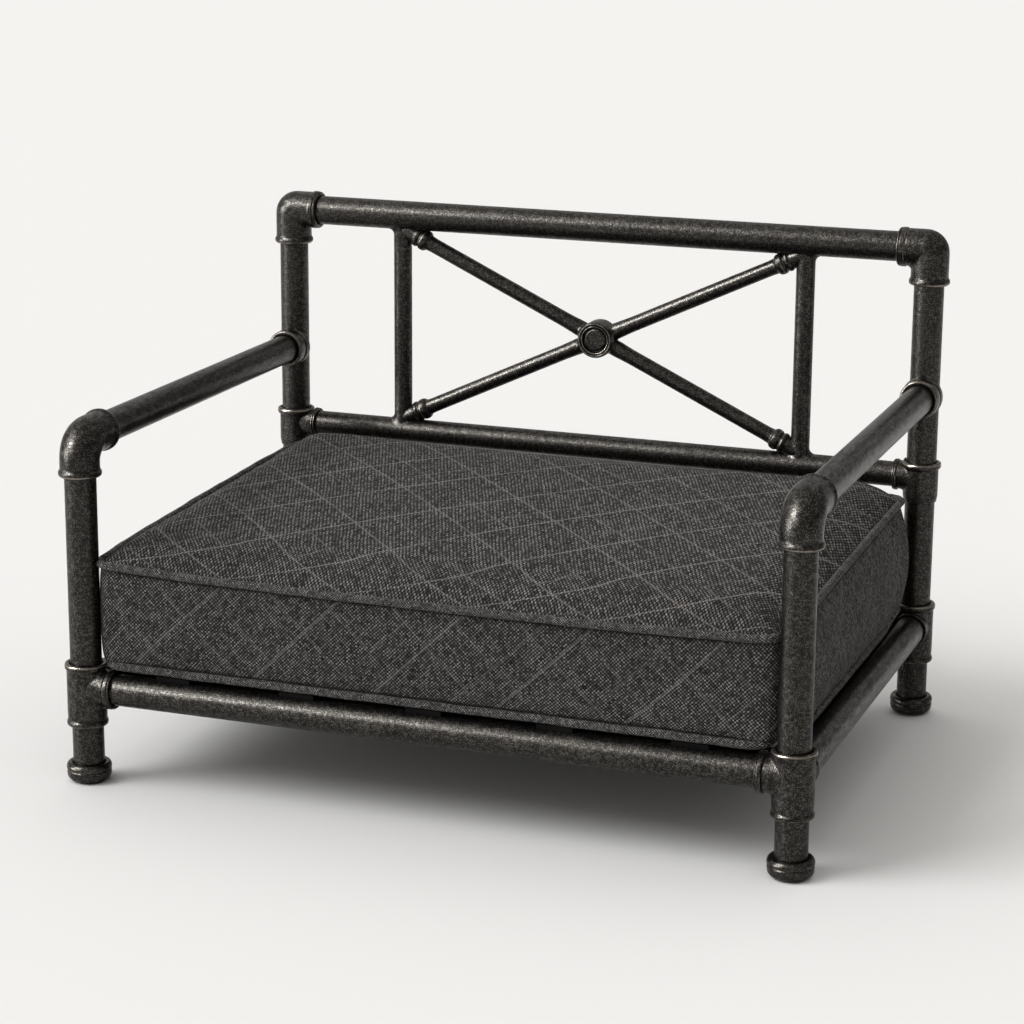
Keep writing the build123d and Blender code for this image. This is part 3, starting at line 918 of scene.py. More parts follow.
@dataclass(frozen=True)
class BackTee:
    """A slim sleeve on a rear upright that takes the lower back rail."""

    work: PipeWork
    rise: float = 17.6
    drop: float = 28.0
    body: float = 19.5
    bead: float = 22.2
    outlet: float = 16.2
    reach: float = 30.5
    band: float = 17.7
    fillet: float = 3.4

    def build(self, name: str) -> Piece:
        """Makes both tees.

        Args:
            name: name of the piece.

        Returns:
            The pair as one object.
        """
        w, z = self.work, self.work.back_z
        low, high, end = z - self.drop, z + self.rise, self.reach
        shell = Shell()
        shell.turn(Seat((w.half_x, w.half_y, 0), (0, 0, 1), (1, 0, 0)), outline(
            (w.mouth, low + 6.0), (w.mouth + 0.3, low + 0.4, 0.5), (18.4, low, 0.8, 0.8),
            (18.7, low + 2.6, 0.9, 0.4), (self.body, low + 7.0, 2.0), (self.body, high - 8.0, 1.2),
            (self.bead, high - 6.4, 2.0, 0.3), (self.bead, high - 1.4, 2.4, 1.0),
            (20.0, high, 1.4, 0.9), (17.7, high - 0.4, 0.7, 0.3), (w.mouth, high - 3.0, 0.8),
            (w.mouth, high - 8.0),
        ))
        shell.branch(Seat((w.half_x, w.half_y, z), (-1, 0, 0), (0, 0, 1)), self.body, self.fillet, outline(
            (self.outlet, end - 6.9), (self.outlet, end - 6.0, 0.3),
            (self.outlet - 0.6, end - 5.6, 0.3), (self.band, end - 5.0, 0.9, 0.9),
            (self.band, end - 2.8, 0.8, 0.5), (self.band - 0.9, end - 2.4, 0.3),
            (self.band - 0.2, end - 1.8, 0.5, 0.8), (self.band - 0.6, end, 0.8, 0.6),
            (w.slim_rail + 0.6, end, 0.4), (w.slim_rail + 0.1, end - 2.0, 0.4),
            (w.slim_rail + 0.1, end - 5.0),
        ))
        return shell.pair(name)


class Mouth:
    """Outlines of an elbow's mouth, measured from its face into the elbow."""

    @staticmethod
    def beaded(work: PipeWork) -> list[Knot]:
        """A rolled bead at the mouth."""
        return outline(
            (work.mouth, 7.0), (work.mouth + 0.2, 2.0, 0.8), (17.8, 0.0, 0.7, 0.2),
            (20.6, 0.0, 1.6, 0.9), (work.bead, 1.6, 2.0, 1.0), (work.bead, 5.4, 2.0, 0.4),
            (work.body + 0.3, 7.4, 0.8), (work.body, 9.6, 1.2), (work.body, 11.0),
        )

    @staticmethod
    def banded(work: PipeWork) -> list[Knot]:
        """A groove and a rounded band at the mouth."""
        return outline(
            (work.mouth, 6.0), (work.mouth + 0.2, 1.6, 0.6), (17.6, 0.0, 0.6), (20.3, 0.0, 1.0, 0.8),
            (21.5, 1.3, 0.8, 0.8), (21.5, 2.4, 0.4, 0.4), (20.9, 2.8, 0.2), (20.9, 3.2, 0.2),
            (21.9, 3.8, 0.6, 0.6), (21.9, 8.8, 0.9, 0.9), (20.1, 9.5, 0.3), (20.1, 10.3, 0.3),
            (work.body, 10.9, 0.4), (work.body, 12.0),
        )


@dataclass(frozen=True)
class Elbow:
    """A cast elbow in one upright plane, from a mouth below to a mouth at its side."""

    work: PipeWork
    drop: float
    reach: float
    bend: float
    swell: float = 0.5
    inner_fillet: float = 0.0
    BEND_STEPS = 16
    BEND_WEAR = 0.12

    def build(
        self, name: str, corner: Triple, way: Triple, side: Triple, low: Sequence[Knot], far: Sequence[Knot]
    ) -> Piece:
        """Makes the elbow and its mirror image.

        Args:
            name: name of the piece.
            corner: where the two pipes' axes cross.
            way: direction of the far leg.
            side: direction across the bend's plane.
            low: outline of the lower mouth.
            far: outline of the far mouth.

        Returns:
            The pair as one object.
        """
        corner_at, out, up = np.array(corner), np.array(way, float), np.array((0.0, 0.0, 1.0))
        shell = Shell()
        low_spots, low_wear = rounded(low)
        far_spots, far_wear = rounded(far)
        centres = [corner_at + up * (t - self.drop) for _, t in low_spots]
        runs = [up] * len(centres)
        radii = [r for r, _ in low_spots]
        pivot = corner_at - up * self.bend + out * self.bend
        for turn in np.linspace(0, 0.5 * math.pi, self.BEND_STEPS):
            centres.append(pivot - out * self.bend * math.cos(turn) + up * self.bend * math.sin(turn))
            runs.append(up * math.cos(turn) + out * math.sin(turn))
            radii.append(self.work.body + self.swell * math.sin(2 * turn) ** 2)
        wear = list(low_wear) + [self.BEND_WEAR] * self.BEND_STEPS + list(far_wear[::-1])
        for r, t in far_spots[::-1]:
            centres.append(corner_at + out * (self.reach - t))
            runs.append(out)
            radii.append(r)
        shell.sweep(np.array(centres), np.array(runs), side, radii, wear)
        if self.inner_fillet:
            body = self.work.body
            end = body + self.inner_fillet + 0.6
            neck = outline((body - 0.05, end), (body - 1.5, end + 0.4))
            shell.branch(Seat(corner, way, (0, 0, -1)), body, self.inner_fillet, neck, under_only=True)
        return shell.pair(name)


@dataclass(frozen=True)
class ArmCollar:
    """Two stepped rings that saddle a rear upright and take the end of an arm."""

    work: PipeWork
    setback: float = 6.0
    reach: float = 32.0

    def build(self, name: str) -> Piece:
        """Makes both collars.

        Args:
            name: name of the piece.

        Returns:
            The pair as one object.
        """
        w, end = self.work, self.reach
        shell = Shell()
        shell.turn(Seat((w.half_x, w.half_y, w.arm_z), (0, -1, 0), (1, 0, 0)), outline(
            (10.0, self.setback), (w.bead - 0.6, self.setback, 1.2, 0.4),
            (w.bead, self.setback + 3.0, 1.4), (w.bead, 15.2, 1.6, 0.9), (20.9, 16.6, 0.5),
            (20.7, 18.0, 0.5), (22.0, 19.0, 0.9, 0.7), (22.0, end - 3.4, 1.2, 0.4),
            (21.7, end - 1.0, 1.0, 1.0), (20.2, end, 0.9, 0.9), (17.6, end, 0.6, 0.2),
            (w.mouth, end - 2.6, 0.6), (w.mouth, end - 8.0),
        ))
        return shell.pair(name)


@dataclass(frozen=True)
class WeldedBack:
    """Spindles, braces and hub of the back, welded with full fillets."""

    work: PipeWork
    spindle: float = 10.65
    spindle_fillet: float = 7.5
    brace: float = 8.6
    knuckle_inset_x: float = 21.4
    knuckle_inset_z: float = 25.1
    hub: float = 21.0
    hub_half: float = 15.0
    brace_fillet: float = 4.5
    CORE = (5.0, 4.0)
    PLAIN = (60.0, 105.0, 150.0, 195.0)
    FLARE = (0.32, 0.68)

    def spindles(self) -> list[Piece]:
        """Makes the two spindles, flared into both rails."""
        w = self.work
        made = []
        for hand, x in (("left", -w.spindle_x), ("right", w.spindle_x)):
            shell = Shell()
            angle = shell.angles()
            flare = self.spindle_fillet * (self.FLARE[0] + self.FLARE[1] * np.cos(angle) ** 2)
            up = Seat((x, w.half_y, w.back_z), (0, 0, 1), (1, 0, 0))
            down = Seat((x, w.half_y, w.top_z), (0, 0, -1), (1, 0, 0))
            low = shell.foot(up, w.slim_rail, self.spindle, flare)
            high = shell.foot(down, w.pipe, self.spindle, flare)
            flip = (-np.arange(Shell.SIDES)) % Shell.SIDES
            rings = [up.ring(*self.CORE, angle)] + low
            rings += [up.ring(self.spindle, along, angle) for along in self.PLAIN]
            rings += [ring[flip] for ring in high[::-1]] + [down.ring(*self.CORE, angle)[flip]]
            shell.skin(rings, [0.0] * len(rings))
            made.append(shell.piece("spindle_flared_" + hand))
        return made

    def braces(self, name: str, level: int) -> Piece:
        """Makes the two braces above or below the hub.

        Args:
            name: name of the piece.
            level: 1 above, -1 below.

        Returns:
            The pair as one object.
        """
        w = self.work
        rise = (w.top_z - w.back_z) / 2 - self.knuckle_inset_z
        reach = np.array((w.spindle_x - self.knuckle_inset_x, 0.0, level * rise))
        length = float(np.linalg.norm(reach))
        tail = length * w.spindle_x / reach[0]
        shell = Shell()
        seat = Seat((0, w.half_y, w.mid_z), tuple(reach), (0, 1, 0))
        shell.branch(seat, self.hub, self.brace_fillet, outline(
            (self.brace + 0.8, self.hub + 5.2), (self.brace, self.hub + 22.0, 8.0),
            (self.brace, length - 20.0, 3.0), (self.brace + 0.5, length - 13.5, 1.0),
            (12.2, length - 10.6, 2.6, 0.5), (12.4, length - 4.8, 2.8, 0.8), (10.6, length - 2.6, 0.8),
            (10.5, length - 1.4, 0.5), (12.0, length + 0.2, 1.2, 0.7), (12.0, length + 3.0, 1.4, 0.3),
            (10.6, length + 5.0, 1.0), (10.3, tail - 1.5, 2.0), (6.0, tail),
        ))
        return shell.pair(name)

    def hub_ring(self, name: str) -> Piece:
        """Makes the hub with its rolled rim, groove and recess.

        Args:
            name: name of the piece.

        Returns:
            The new object.
        """
        w, half = self.work, self.hub_half
        shell = Shell()
        shell.turn(Seat((0, w.half_y, w.mid_z), (0, -1, 0), (1, 0, 0)), outline(
            (8.0, -half), (16.5, -half, 1.2), (18.0, 1.5 - half, 0.9, 0.4),
            (self.hub, 3.0 - half, 2.2, 0.5), (self.hub, half - 4.2, 2.6), (20.6, half - 0.6, 1.8, 0.5),
            (18.9, half, 1.0, 0.9), (17.6, half - 0.4, 0.5), (17.1, half - 1.6, 0.4),
            (16.6, half - 0.5, 0.5), (15.6, half - 0.2, 0.5, 1.0), (14.6, half - 1.2, 0.7, 0.5),
            (14.2, half - 5.4, 0.6), (4.0, half - 5.6),
        ))
        return shell.piece(name)

    def hub_plug(self, name: str) -> Piece:
        """Makes the low disc in the hub's recess.

        Args:
            name: name of the piece.

        Returns:
            The new object.
        """
        w, half = self.work, self.hub_half
        shell = Shell()
        shell.turn(Seat((0, w.half_y, w.mid_z), (0, -1, 0), (1, 0, 0)), outline(
            (8.0, half - 6.0), (12.8, half - 6.0, 0.3), (12.8, half - 2.9, 0.9, 0.4),
            (11.2, half - 2.2, 0.8), (6.0, half - 2.0, 1.0), (1.0, half - 1.9),
        ))
        return shell.piece(name)


@dataclass(frozen=True)
class Frame:
    """The whole frame: pipes of the CAD model with castings made here."""

    work: PipeWork
    finishes: Finishes

    def build(self) -> None:
        """Makes and dresses every casting, and dresses the CAD nodes that stay."""
        w, back = self.work, WeldedBack(self.work)
        bead, band = Mouth.beaded(w), Mouth.banded(w)
        made: dict[str, Piece] = {}
        for end, y in (("front", -w.half_y), ("rear", w.half_y)):
            made[end + "_foot_caps"] = FootCap(w).build(end + "_caps_cast", y)
            made[end + "_corner_tees"] = CornerTee(w).build(end + "_tees_cast", y)
        made["back_tees"] = BackTee(w).build("back_tees_cast")
        arm = Elbow(w, drop=39.0, reach=50.0, bend=23.3)
        corner = (w.half_x, -w.half_y, w.arm_z)
        made["arm_elbows"] = arm.build("arm_elbows_cast", corner, (0, 1, 0), (1, 0, 0), bead, bead)
        top = Elbow(w, drop=40.5, reach=35.1, bend=5.0, swell=0.0, inner_fillet=5.0)
        corner = (w.half_x, w.half_y, w.top_z)
        made["top_elbows"] = top.build("top_elbows_cast", corner, (-1, 0, 0), (0, 1, 0), bead, band)
        made["arm_collars"] = ArmCollar(w).build("arm_collars_cast")
        for hand, piece in zip(("left", "right"), back.spindles()):
            made["spindle_" + hand] = piece
        made["upper_braces"] = back.braces("upper_braces_forged", 1)
        made["lower_braces"] = back.braces("lower_braces_forged", -1)
        made["hub_ring"] = back.hub_ring("hub_ring_cast")
        made["hub_plug"] = back.hub_plug("hub_plug_cast")
        for node, piece in made.items():
            slot = Slot.PIPE if node.startswith("spindle") else Slot.FITTING
            settle(piece, Body.FRAME, slot, self.finishes.fitting, node)
        self.dress_pipes()

    def dress_pipes(self) -> None:
        """Gives the CAD nodes that stay their finishes."""
        f = self.finishes
        kinds = {"slat_": f.slat, "deck_bar_": f.slat, "_glides": f.glide, "_rail": f.pipe, "_post": f.pipe}
        for name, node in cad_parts.items():
            for part, finish in kinds.items():
                if part in name:
                    node.data.materials.clear()
                    node.data.materials.append(finish)


# The cushion


@dataclass(frozen=True)
class Cushion:
    """A boxed cushion: top and bottom panels, boxing between two welts, and a zip at the back."""

    finishes: Finishes
    half_x: float = 351.1
    front: float = -269.5
    back: float = 238.1
    corner: float = 14.0
    spread: float = 8.5
    bulge: float = 3.0
    puff_left: float = 1.0
    lean_left: float = 3.4
    post_x: float = 383.5
    post_y: float = -270.3
    post_room: float = 17.5
    puff_right: float = 11.0
    puff_top: float = 4.0
    puff_barrel: float = 8.0
    puff_start: float = -247.0
    back_draw: float = 3.2
    sole: float = 127.0
    low_seam: float = 131.2
    side_sag: float = 6.4
    front_seam: float = 235.2
    corner_lift: float = 5.0
    back_lift: float = 21.0
    shoulder: float = 21.0
    shoulder_run: float = 54.0
    back_run: float = 34.0
    crown: float = 29.0
    cells_x: int = 78
    cells_y: int = 58
    rows: int = 16
    welt: float = 4.2
    welt_out: float = 4.2
    welt_low: float = 6.0
    welt_sides: int = 14
    swell_limit: float = 2.0
    zip_half: float = 262.0
    zip_z: float = 185.2
    SPREAD_POWER = 0.07
    BULGE_POWER = 0.25
    BACK_POWER = 0.5
    FLAT_POWER = 3
    BARREL_POWER = 1.2
    CORNER_POWER = 3
    LIFT_POWER = 1.5
    EDGE_POWER = 4.0
    SHOULDER_POWER = 2.2
    SIDE_SHARE = 1.4
    FRONT_SHARE = 0.5
    CORNER_SHARE = 0.2
    BACK_SHARE = 0.6
    DRAW_INSET = 18
    DRAW_RUN = 55
    PUFF_RUN = 36
    PUFF_X = (200, 150)
    LEAN_LOSS = 0.7
    SAG_INSET = 25
    SAG_RUN = 60
    SAG_X = (304, 46)
    RIM_RUN = 9.0
    DOME_RUN = 240.0
    BOXING_TALL = 108.0
    BOXING_START = (300.0, 1000.0)
    ZIP_ROOM_Y = 10
    ZIP_ROOM_Z = 20
    WELT_RIGHT = 3.5
    WELT_X = (320, 25)
    WOBBLE = ((0.22, 17, 0.0), (0.16, 41, 1.0))
    WOBBLE_OUT = 0.4
    UNEVEN = ((0.02, 29, 0.0), (0.015, 73, 0.0))
    FILL_FRAMES = 20
    FILLING = {
        "quality": 6,
        "mass": 0.25,
        "tension_stiffness": 12.0,
        "compression_stiffness": 12.0,
        "bending_stiffness": 1.5,
        "use_pressure": True,
        "uniform_pressure_force": 4.0,
        "vertex_group_mass": "held",
        "shrink_min": -0.012,
    }

    @staticmethod
    def smooth(value: Array) -> Array:
        """A smooth step of values from nought to one."""
        share = np.clip(value, 0.0, 1.0)
        return share * share * (3 - 2 * share)

    @staticmethod
    def waves(table: Sequence[Triple], turn: Array) -> Array:
        """A sum of waves round the cushion.

        Args:
            table: height, count and start of each wave.
            turn: places round the cushion, as angles.

        Returns:
            The sum at each place.
        """
        return sum(tall * np.sin(count * turn + start) for tall, count, start in table)

    def beyond(self, value: Array, step: tuple[float, float]) -> Array:
        """A smooth step of values.

        Args:
            value: the values.
            step: where the step starts and how long it is.

        Returns:
            Nought before the step, one after it.
        """
        return self.smooth((value - step[0]) / step[1])

    @staticmethod
    def side_run(half_long: float, corner: float, count: int) -> Array:
        """Evenly spaced points on one side of a plan, from one corner's middle to the next.

        Args:
            half_long: half of the plan's length on this side.
            corner: radius of the plan's corners.
            count: number of steps.

        Returns:
            Distance along the side and depth inside its straight line, for each point.
        """
        straight, arc = 2 * (half_long - corner), corner * math.pi / 4
        spots = []
        for s in np.linspace(0, straight + 2 * arc, count + 1):
            if s < arc:
                turn = math.pi / 4 - s / corner
                spots.append((-half_long + corner * (1 - math.sin(turn)), corner * (1 - math.cos(turn))))
            elif s > arc + straight:
                turn = (s - arc - straight) / corner
                spots.append((half_long - corner * (1 - math.sin(turn)), corner * (1 - math.cos(turn))))
            else:
                spots.append((s - arc - straight / 2, 0.0))
        return np.array(spots)

    def panel(self, level: float) -> Array:
        """Points of a panel over the plan at one level of the boxing, rows from front to back.

        Args:
            level: 0 at the lower seam, 1 at the upper seam.

        Returns:
            Points as x and y, by row and column.
        """
        full = max(math.sin(math.pi * level), 0.0)
        out = self.spread * level**self.SPREAD_POWER + self.bulge * full**self.BULGE_POWER
        half, near = self.half_x + self.SIDE_SHARE * out, self.front - self.FRONT_SHARE * out
        corner, back_out = self.corner + self.CORNER_SHARE * out, self.BACK_SHARE * self.spread
        full = full**self.BACK_POWER
        far = self.back + back_out * level + self.bulge * full
        middle, deep = (near + far) / 2, (far - near) / 2
        along_x = self.side_run(half, corner, self.cells_x)
        along_y = self.side_run(deep, corner, self.cells_y)
        flat = far - self.back + self.back_draw * full
        flat -= back_out * max(2 * level - 1, 0.0) ** self.FLAT_POWER
        draw = flat * self.smooth((half - self.DRAW_INSET - np.abs(along_x[:, 0])) / self.DRAW_RUN)
        front = np.stack([along_x[:, 0], near + along_x[:, 1]], -1)
        back = np.stack([along_x[:, 0], far - along_x[:, 1] - draw], -1)
        left = np.stack([along_y[:, 1] - half, middle + along_y[:, 0]], -1)
        right = left * np.array((-1.0, 1.0))
        u = np.linspace(0, 1, self.cells_x + 1)[None, :, None]
        v = np.linspace(0, 1, self.cells_y + 1)[:, None, None]
        ruled = (1 - v) * front[None] + v * back[None] + (1 - u) * left[:, None] + u * right[:, None]
        near_edge = (1 - u) * front[0] + u * front[-1]
        far_edge = (1 - u) * back[0] + u * back[-1]
        return ruled - (1 - v) * near_edge - v * far_edge

    def puffed(self, spots: Array, level: float) -> Array:
        """Lets the sides swell out behind the front posts, the right one most at half height.

        Args:
            spots: points of the plain plan, with x and y in the last axis.
            level: 0 at the lower seam, 1 at the upper seam.

        Returns:
            The moved points.
        """
        x, y = spots[..., 0], spots[..., 1]
        behind = self.beyond(y, (self.puff_start, self.PUFF_RUN))
        share = behind * self.beyond(np.abs(x), self.PUFF_X)
        full = max(math.sin(math.pi * level), 0.0) ** self.BARREL_POWER
        right = self.puff_right + (self.puff_top - self.puff_right) * level + self.puff_barrel * full
        moved = spots.copy()
        moved[..., 0] += share * np.where(x > 0, right, -self.puff_left)
        moved[..., 0] -= self.lean_left * (1 - self.LEAN_LOSS * level) * self.beyond(-x, self.PUFF_X)
        return self.clear(moved)

    def clear(self, spots: Array) -> Array:
        """Presses points off the two front posts.

        Args:
            spots: points with x and y in the last axis.

        Returns:
            The moved points.
        """
        moved = spots.copy()
        for side in (-1, 1):
            off = moved - np.array((side * self.post_x, self.post_y))
            far = np.maximum(np.linalg.norm(off, axis=-1, keepdims=True), 0.01)
            moved += off / far * np.maximum(self.post_room - far, 0.0)
        return moved

    def seam_height(self, x: Array, y: Array) -> Array:
        """Height of the upper seam: low at the middle of the front, higher at the corners and the back.

        Args:
            x: places across.
            y: places from front to back.

        Returns:
            Heights.
        """
        out = np.clip(np.abs(x) / self.half_x, 0, 1) ** self.CORNER_POWER
        behind = np.clip((y - self.front) / (self.back - self.front), 0, 1)
        corner = self.corner_lift * out
        rise = 1 - (1 - behind) ** self.LIFT_POWER
        return self.front_seam + corner + (self.back_lift - corner) * rise

    def sag(self, x: Array, y: Array) -> Array:
        """How far the bottom hangs between the last slat and the bar along each side.

        Args:
            x: places across.
            y: places from front to back.

        Returns:
            Depths.
        """
        behind = self.smooth((y - self.front - self.SAG_INSET) / self.SAG_RUN)
        along = behind * self.smooth((self.back - self.SAG_INSET - y) / self.SAG_RUN)
        return self.side_sag * along * self.beyond(np.abs(x), self.SAG_X)

    def heights(self, grid: Array, level: int) -> Array:
        """Heights of the top or the bottom panel.

        Args:
            grid: the panel's points.
            level: 1 for the top, 0 for the bottom.

        Returns:
            One height for each point.
        """
        x, y = grid[..., 0], grid[..., 1]
        half, near = np.abs(x).max(), y.min()
        behind = (y.max() - y) * self.shoulder_run / self.back_run
        room = np.maximum(np.stack([half - np.abs(x), y - near, behind]), 0.01)
        edge = (room**-self.EDGE_POWER).sum(0) ** (-1 / self.EDGE_POWER)
        if not level:
            rim = (self.low_seam - self.sole) * (1 - np.clip(edge / self.RIM_RUN, 0, 1)) ** 2
            return self.sole + rim - self.sag(x, y)
        climb = 1 - (1 - np.clip(edge / self.shoulder_run, 0, 1)) ** self.SHOULDER_POWER
        dome = 1 - (1 - np.clip(edge / self.DOME_RUN, 0, 1)) ** 2
        return self.seam_height(x, y) + self.shoulder * climb + (self.crown - self.shoulder) * dome

    def loop_index(self) -> list[tuple[int, int]]:
        """Rows and columns of a panel's edge, anticlockwise from the front left corner."""
        nx, ny = self.cells_x, self.cells_y
        edge = [(0, i) for i in range(nx)] + [(j, nx) for j in range(ny)]
        return edge + [(ny, i) for i in range(nx, 0, -1)] + [(j, 0) for j in range(ny, 0, -1)]

    def wall(self, level: float) -> Array:
        """Points round the boxing at one level.

        Args:
            level: 0 at the lower seam, 1 at the upper seam.

        Returns:
            Points as rows of x, y and z.
        """
        plan = self.panel(level)
        loop = np.array([plan[spot] for spot in self.loop_index()])
        x, y = loop.T
        low = self.low_seam - self.sag(x, y)
        return np.column_stack([self.puffed(loop, level), low + level * (self.seam_height(x, y) - low)])

    def cover(self) -> Piece:
        """Makes the sewn cover before it is filled.

        Returns:
            The cover as a closed mesh with flat cloth places for its weave.
        """
        grid, sole = self.panel(1.0), self.panel(0.0)
        order = self.loop_index()
        deep, columns = grid.shape[:2]
        size, around = deep * columns, len(order)
        shares = 0.5 - 0.5 * np.cos(np.linspace(0, math.pi, self.rows + 1))
        walls = np.concatenate([self.wall(float(share)) for share in shares[1:-1]])
        top = np.dstack([self.puffed(grid, 1.0), self.heights(grid, 1)]).reshape(-1, 3)
        bottom = np.dstack([self.puffed(sole, 0.0), self.heights(sole, 0)]).reshape(-1, 3)
        faces, places = [], []
        for j in range(deep - 1):
            for i in range(columns - 1):
                cells = ((j, i), (j, i + 1), (j + 1, i + 1), (j + 1, i))
                quad = [r * columns + c for r, c in cells]
                spots = [tuple(grid[cell]) for cell in cells]
                faces += [tuple(quad), tuple(size + k for k in reversed(quad))]
                places += spots + spots[::-1]
        upper = [r * columns + c for r, c in order]
        levels = [[size + k for k in upper]]
        starts = range(2 * size, 2 * size + len(walls), around)
        levels += [list(range(start, start + around)) for start in starts]
        levels.append(upper)
        loop = np.array([grid[spot] for spot in order])
        steps = np.linalg.norm(np.roll(loop, -1, 0) - loop, axis=1)
        walked = np.concatenate([[0], np.cumsum(steps)]) + self.BOXING_START[0]
        drop = shares * self.BOXING_TALL + self.BOXING_START[1]
        for row in range(self.rows):
            for k in range(around):
                n = (k + 1) % around
                faces.append((levels[row][k], levels[row][n], levels[row + 1][n], levels[row + 1][k]))
                corners = ((k, row), (k + 1, row), (k + 1, row + 1), (k, row + 1))
                places += [(walked[s], drop[z]) for s, z in corners]
        cover = cloth_piece("cushion_cover_filled", np.concatenate([top, bottom, walls]), faces, places)
        held = cover.vertex_groups.new(name="held")
        held.add(sorted(set(upper) | set(range(size, 2 * size))), 1.0, "REPLACE")
        x, y, z = walls.T
        zipped = (y > self.back - self.ZIP_ROOM_Y) & (np.abs(x) < self.zip_half)
        zipped &= np.abs(z - self.zip_z) < self.ZIP_ROOM_Z
        held.add((2 * size + np.flatnonzero(zipped)).tolist(), 1.0, "REPLACE")
        return cover

    def fill(self, cover: Piece) -> None:
        """Blows the cover up between its seams and keeps the result within the swell limit.

        Args:
            cover: the sewn cover, which is changed.
        """
        start = np.empty(len(cover.data.vertices) * 3)
        cover.data.vertices.foreach_get("co", start)
        start = start.reshape(-1, 3)
        cloth = cover.modifiers.new("filling", "CLOTH")
        for key, value in self.FILLING.items():
            setattr(cloth.settings, key, value)
        cloth.settings.effector_weights.gravity = 0.0
        cloth.point_cache.frame_start, cloth.point_cache.frame_end = 1, self.FILL_FRAMES
        scene = bpy.context.scene
        for step in range(1, self.FILL_FRAMES + 1):
            scene.frame_set(step)
        shape = cover.evaluated_get(bpy.context.evaluated_depsgraph_get()).to_mesh()
        moved = np.empty(len(shape.vertices) * 3)
        shape.vertices.foreach_get("co", moved)
        moved = moved.reshape(-1, 3) - start
        far = np.linalg.norm(moved, axis=1, keepdims=True)
        limit = self.swell_limit * MM
        kept = start + moved * (limit * np.tanh(far / limit) / np.maximum(far, 1e-9))
        cover.evaluated_get(bpy.context.evaluated_depsgraph_get()).to_mesh_clear()
        cover.modifiers.remove(cloth)
        scene.frame_set(1)
        cover.data.vertices.foreach_set("co", kept.ravel())
        cover.data.update()
        LOG.info("cushion swelled by up to %.1f mm", float(far.max()) / MM)

    def refine(self, cover: Piece) -> None:
        """Subdivides the filled cover once and applies it."""
        finer = cover.modifiers.new("finer", "SUBSURF")
        finer.levels = finer.render_levels = 1
        mesh = bpy.data.meshes.new_from_object(cover.evaluated_get(bpy.context.evaluated_depsgraph_get()))
        cover.modifiers.remove(finer)
        cover.data = mesh

    def welt_tube(self, name: str, upper: bool) -> Piece:
        """Makes one welt, a fabric tube sewn into a seam.

        Args:
            name: name of the piece.
            upper: whether it lies in the upper seam.

        Returns:
            The new object.
        """
        grid = self.panel(float(upper))
        loop = np.array([grid[j, i] for j, i in self.loop_index()])
        fine = np.stack([loop, (loop + np.roll(loop, -1, 0)) / 2], 1).reshape(-1, 2)
        x, y = fine[:, 0], fine[:, 1]
        height = self.seam_height(x, y) if upper else self.low_seam - self.sag(x, y)
        fine = self.puffed(fine, float(upper))
        ahead = np.roll(fine, -1, 0) - np.roll(fine, 1, 0)
        ahead /= np.linalg.norm(ahead, axis=1, keepdims=True)
        out = np.stack([ahead[:, 1], -ahead[:, 0]], -1)
        walked = np.concatenate([[0], np.cumsum(np.linalg.norm(np.roll(fine, -1, 0) - fine, axis=1))])
        share = 2 * math.pi * walked[:-1] / walked[-1]
        wobble = self.waves(self.WOBBLE, share)
        thick = self.welt * (1 + self.waves(self.UNEVEN, share))
        turn = np.linspace(0, 2 * math.pi, self.welt_sides, endpoint=False)
        right = self.beyond(y, (self.puff_start, self.PUFF_RUN)) * self.beyond(x, self.WELT_X)
        reach = self.welt_out if upper else self.welt_low + self.WELT_RIGHT * right
        reach = reach + self.WOBBLE_OUT * wobble
        flat = reach[:, None] + thick[:, None] * np.cos(turn)[None]
        plan = self.clear(fine[:, None, :] + flat[..., None] * out[:, None, :])
        tall = (height + wobble)[:, None] + thick[:, None] * np.sin(turn)[None]
        points = np.dstack([plan, tall]).reshape(-1, 3)
        count, sides = len(fine), self.welt_sides
        girth = self.welt * 2 * math.pi * np.arange(sides + 1) / sides
        faces, places = [], []
        for k in range(count):
            n = (k + 1) % count
            for s in range(sides):
                t = (s + 1) % sides
                faces.append((k * sides + s, n * sides + s, n * sides + t, k * sides + t))
                corners = ((k, s), (k + 1, s), (k + 1, s + 1), (k, s + 1))
                places += [(walked[a], girth[b]) for a, b in corners]
        return cloth_piece(name, points, faces, places)

    def build(self) -> None:
        """Makes and dresses the cushion."""
        cover = self.cover()
        self.fill(cover)
        self.refine(cover)
        settle(cover, Body.CUSHION, Slot.COVER, self.finishes.cover, "cushion_cover", "cushion_foam")
        welts = (("welt_upper", True, "top_piping"), ("welt_lower", False, "bottom_piping"))
        for name, upper, node in welts:
            settle(self.welt_tube(name, upper), Body.CUSHION, Slot.COVER, self.finishes.welt, node)


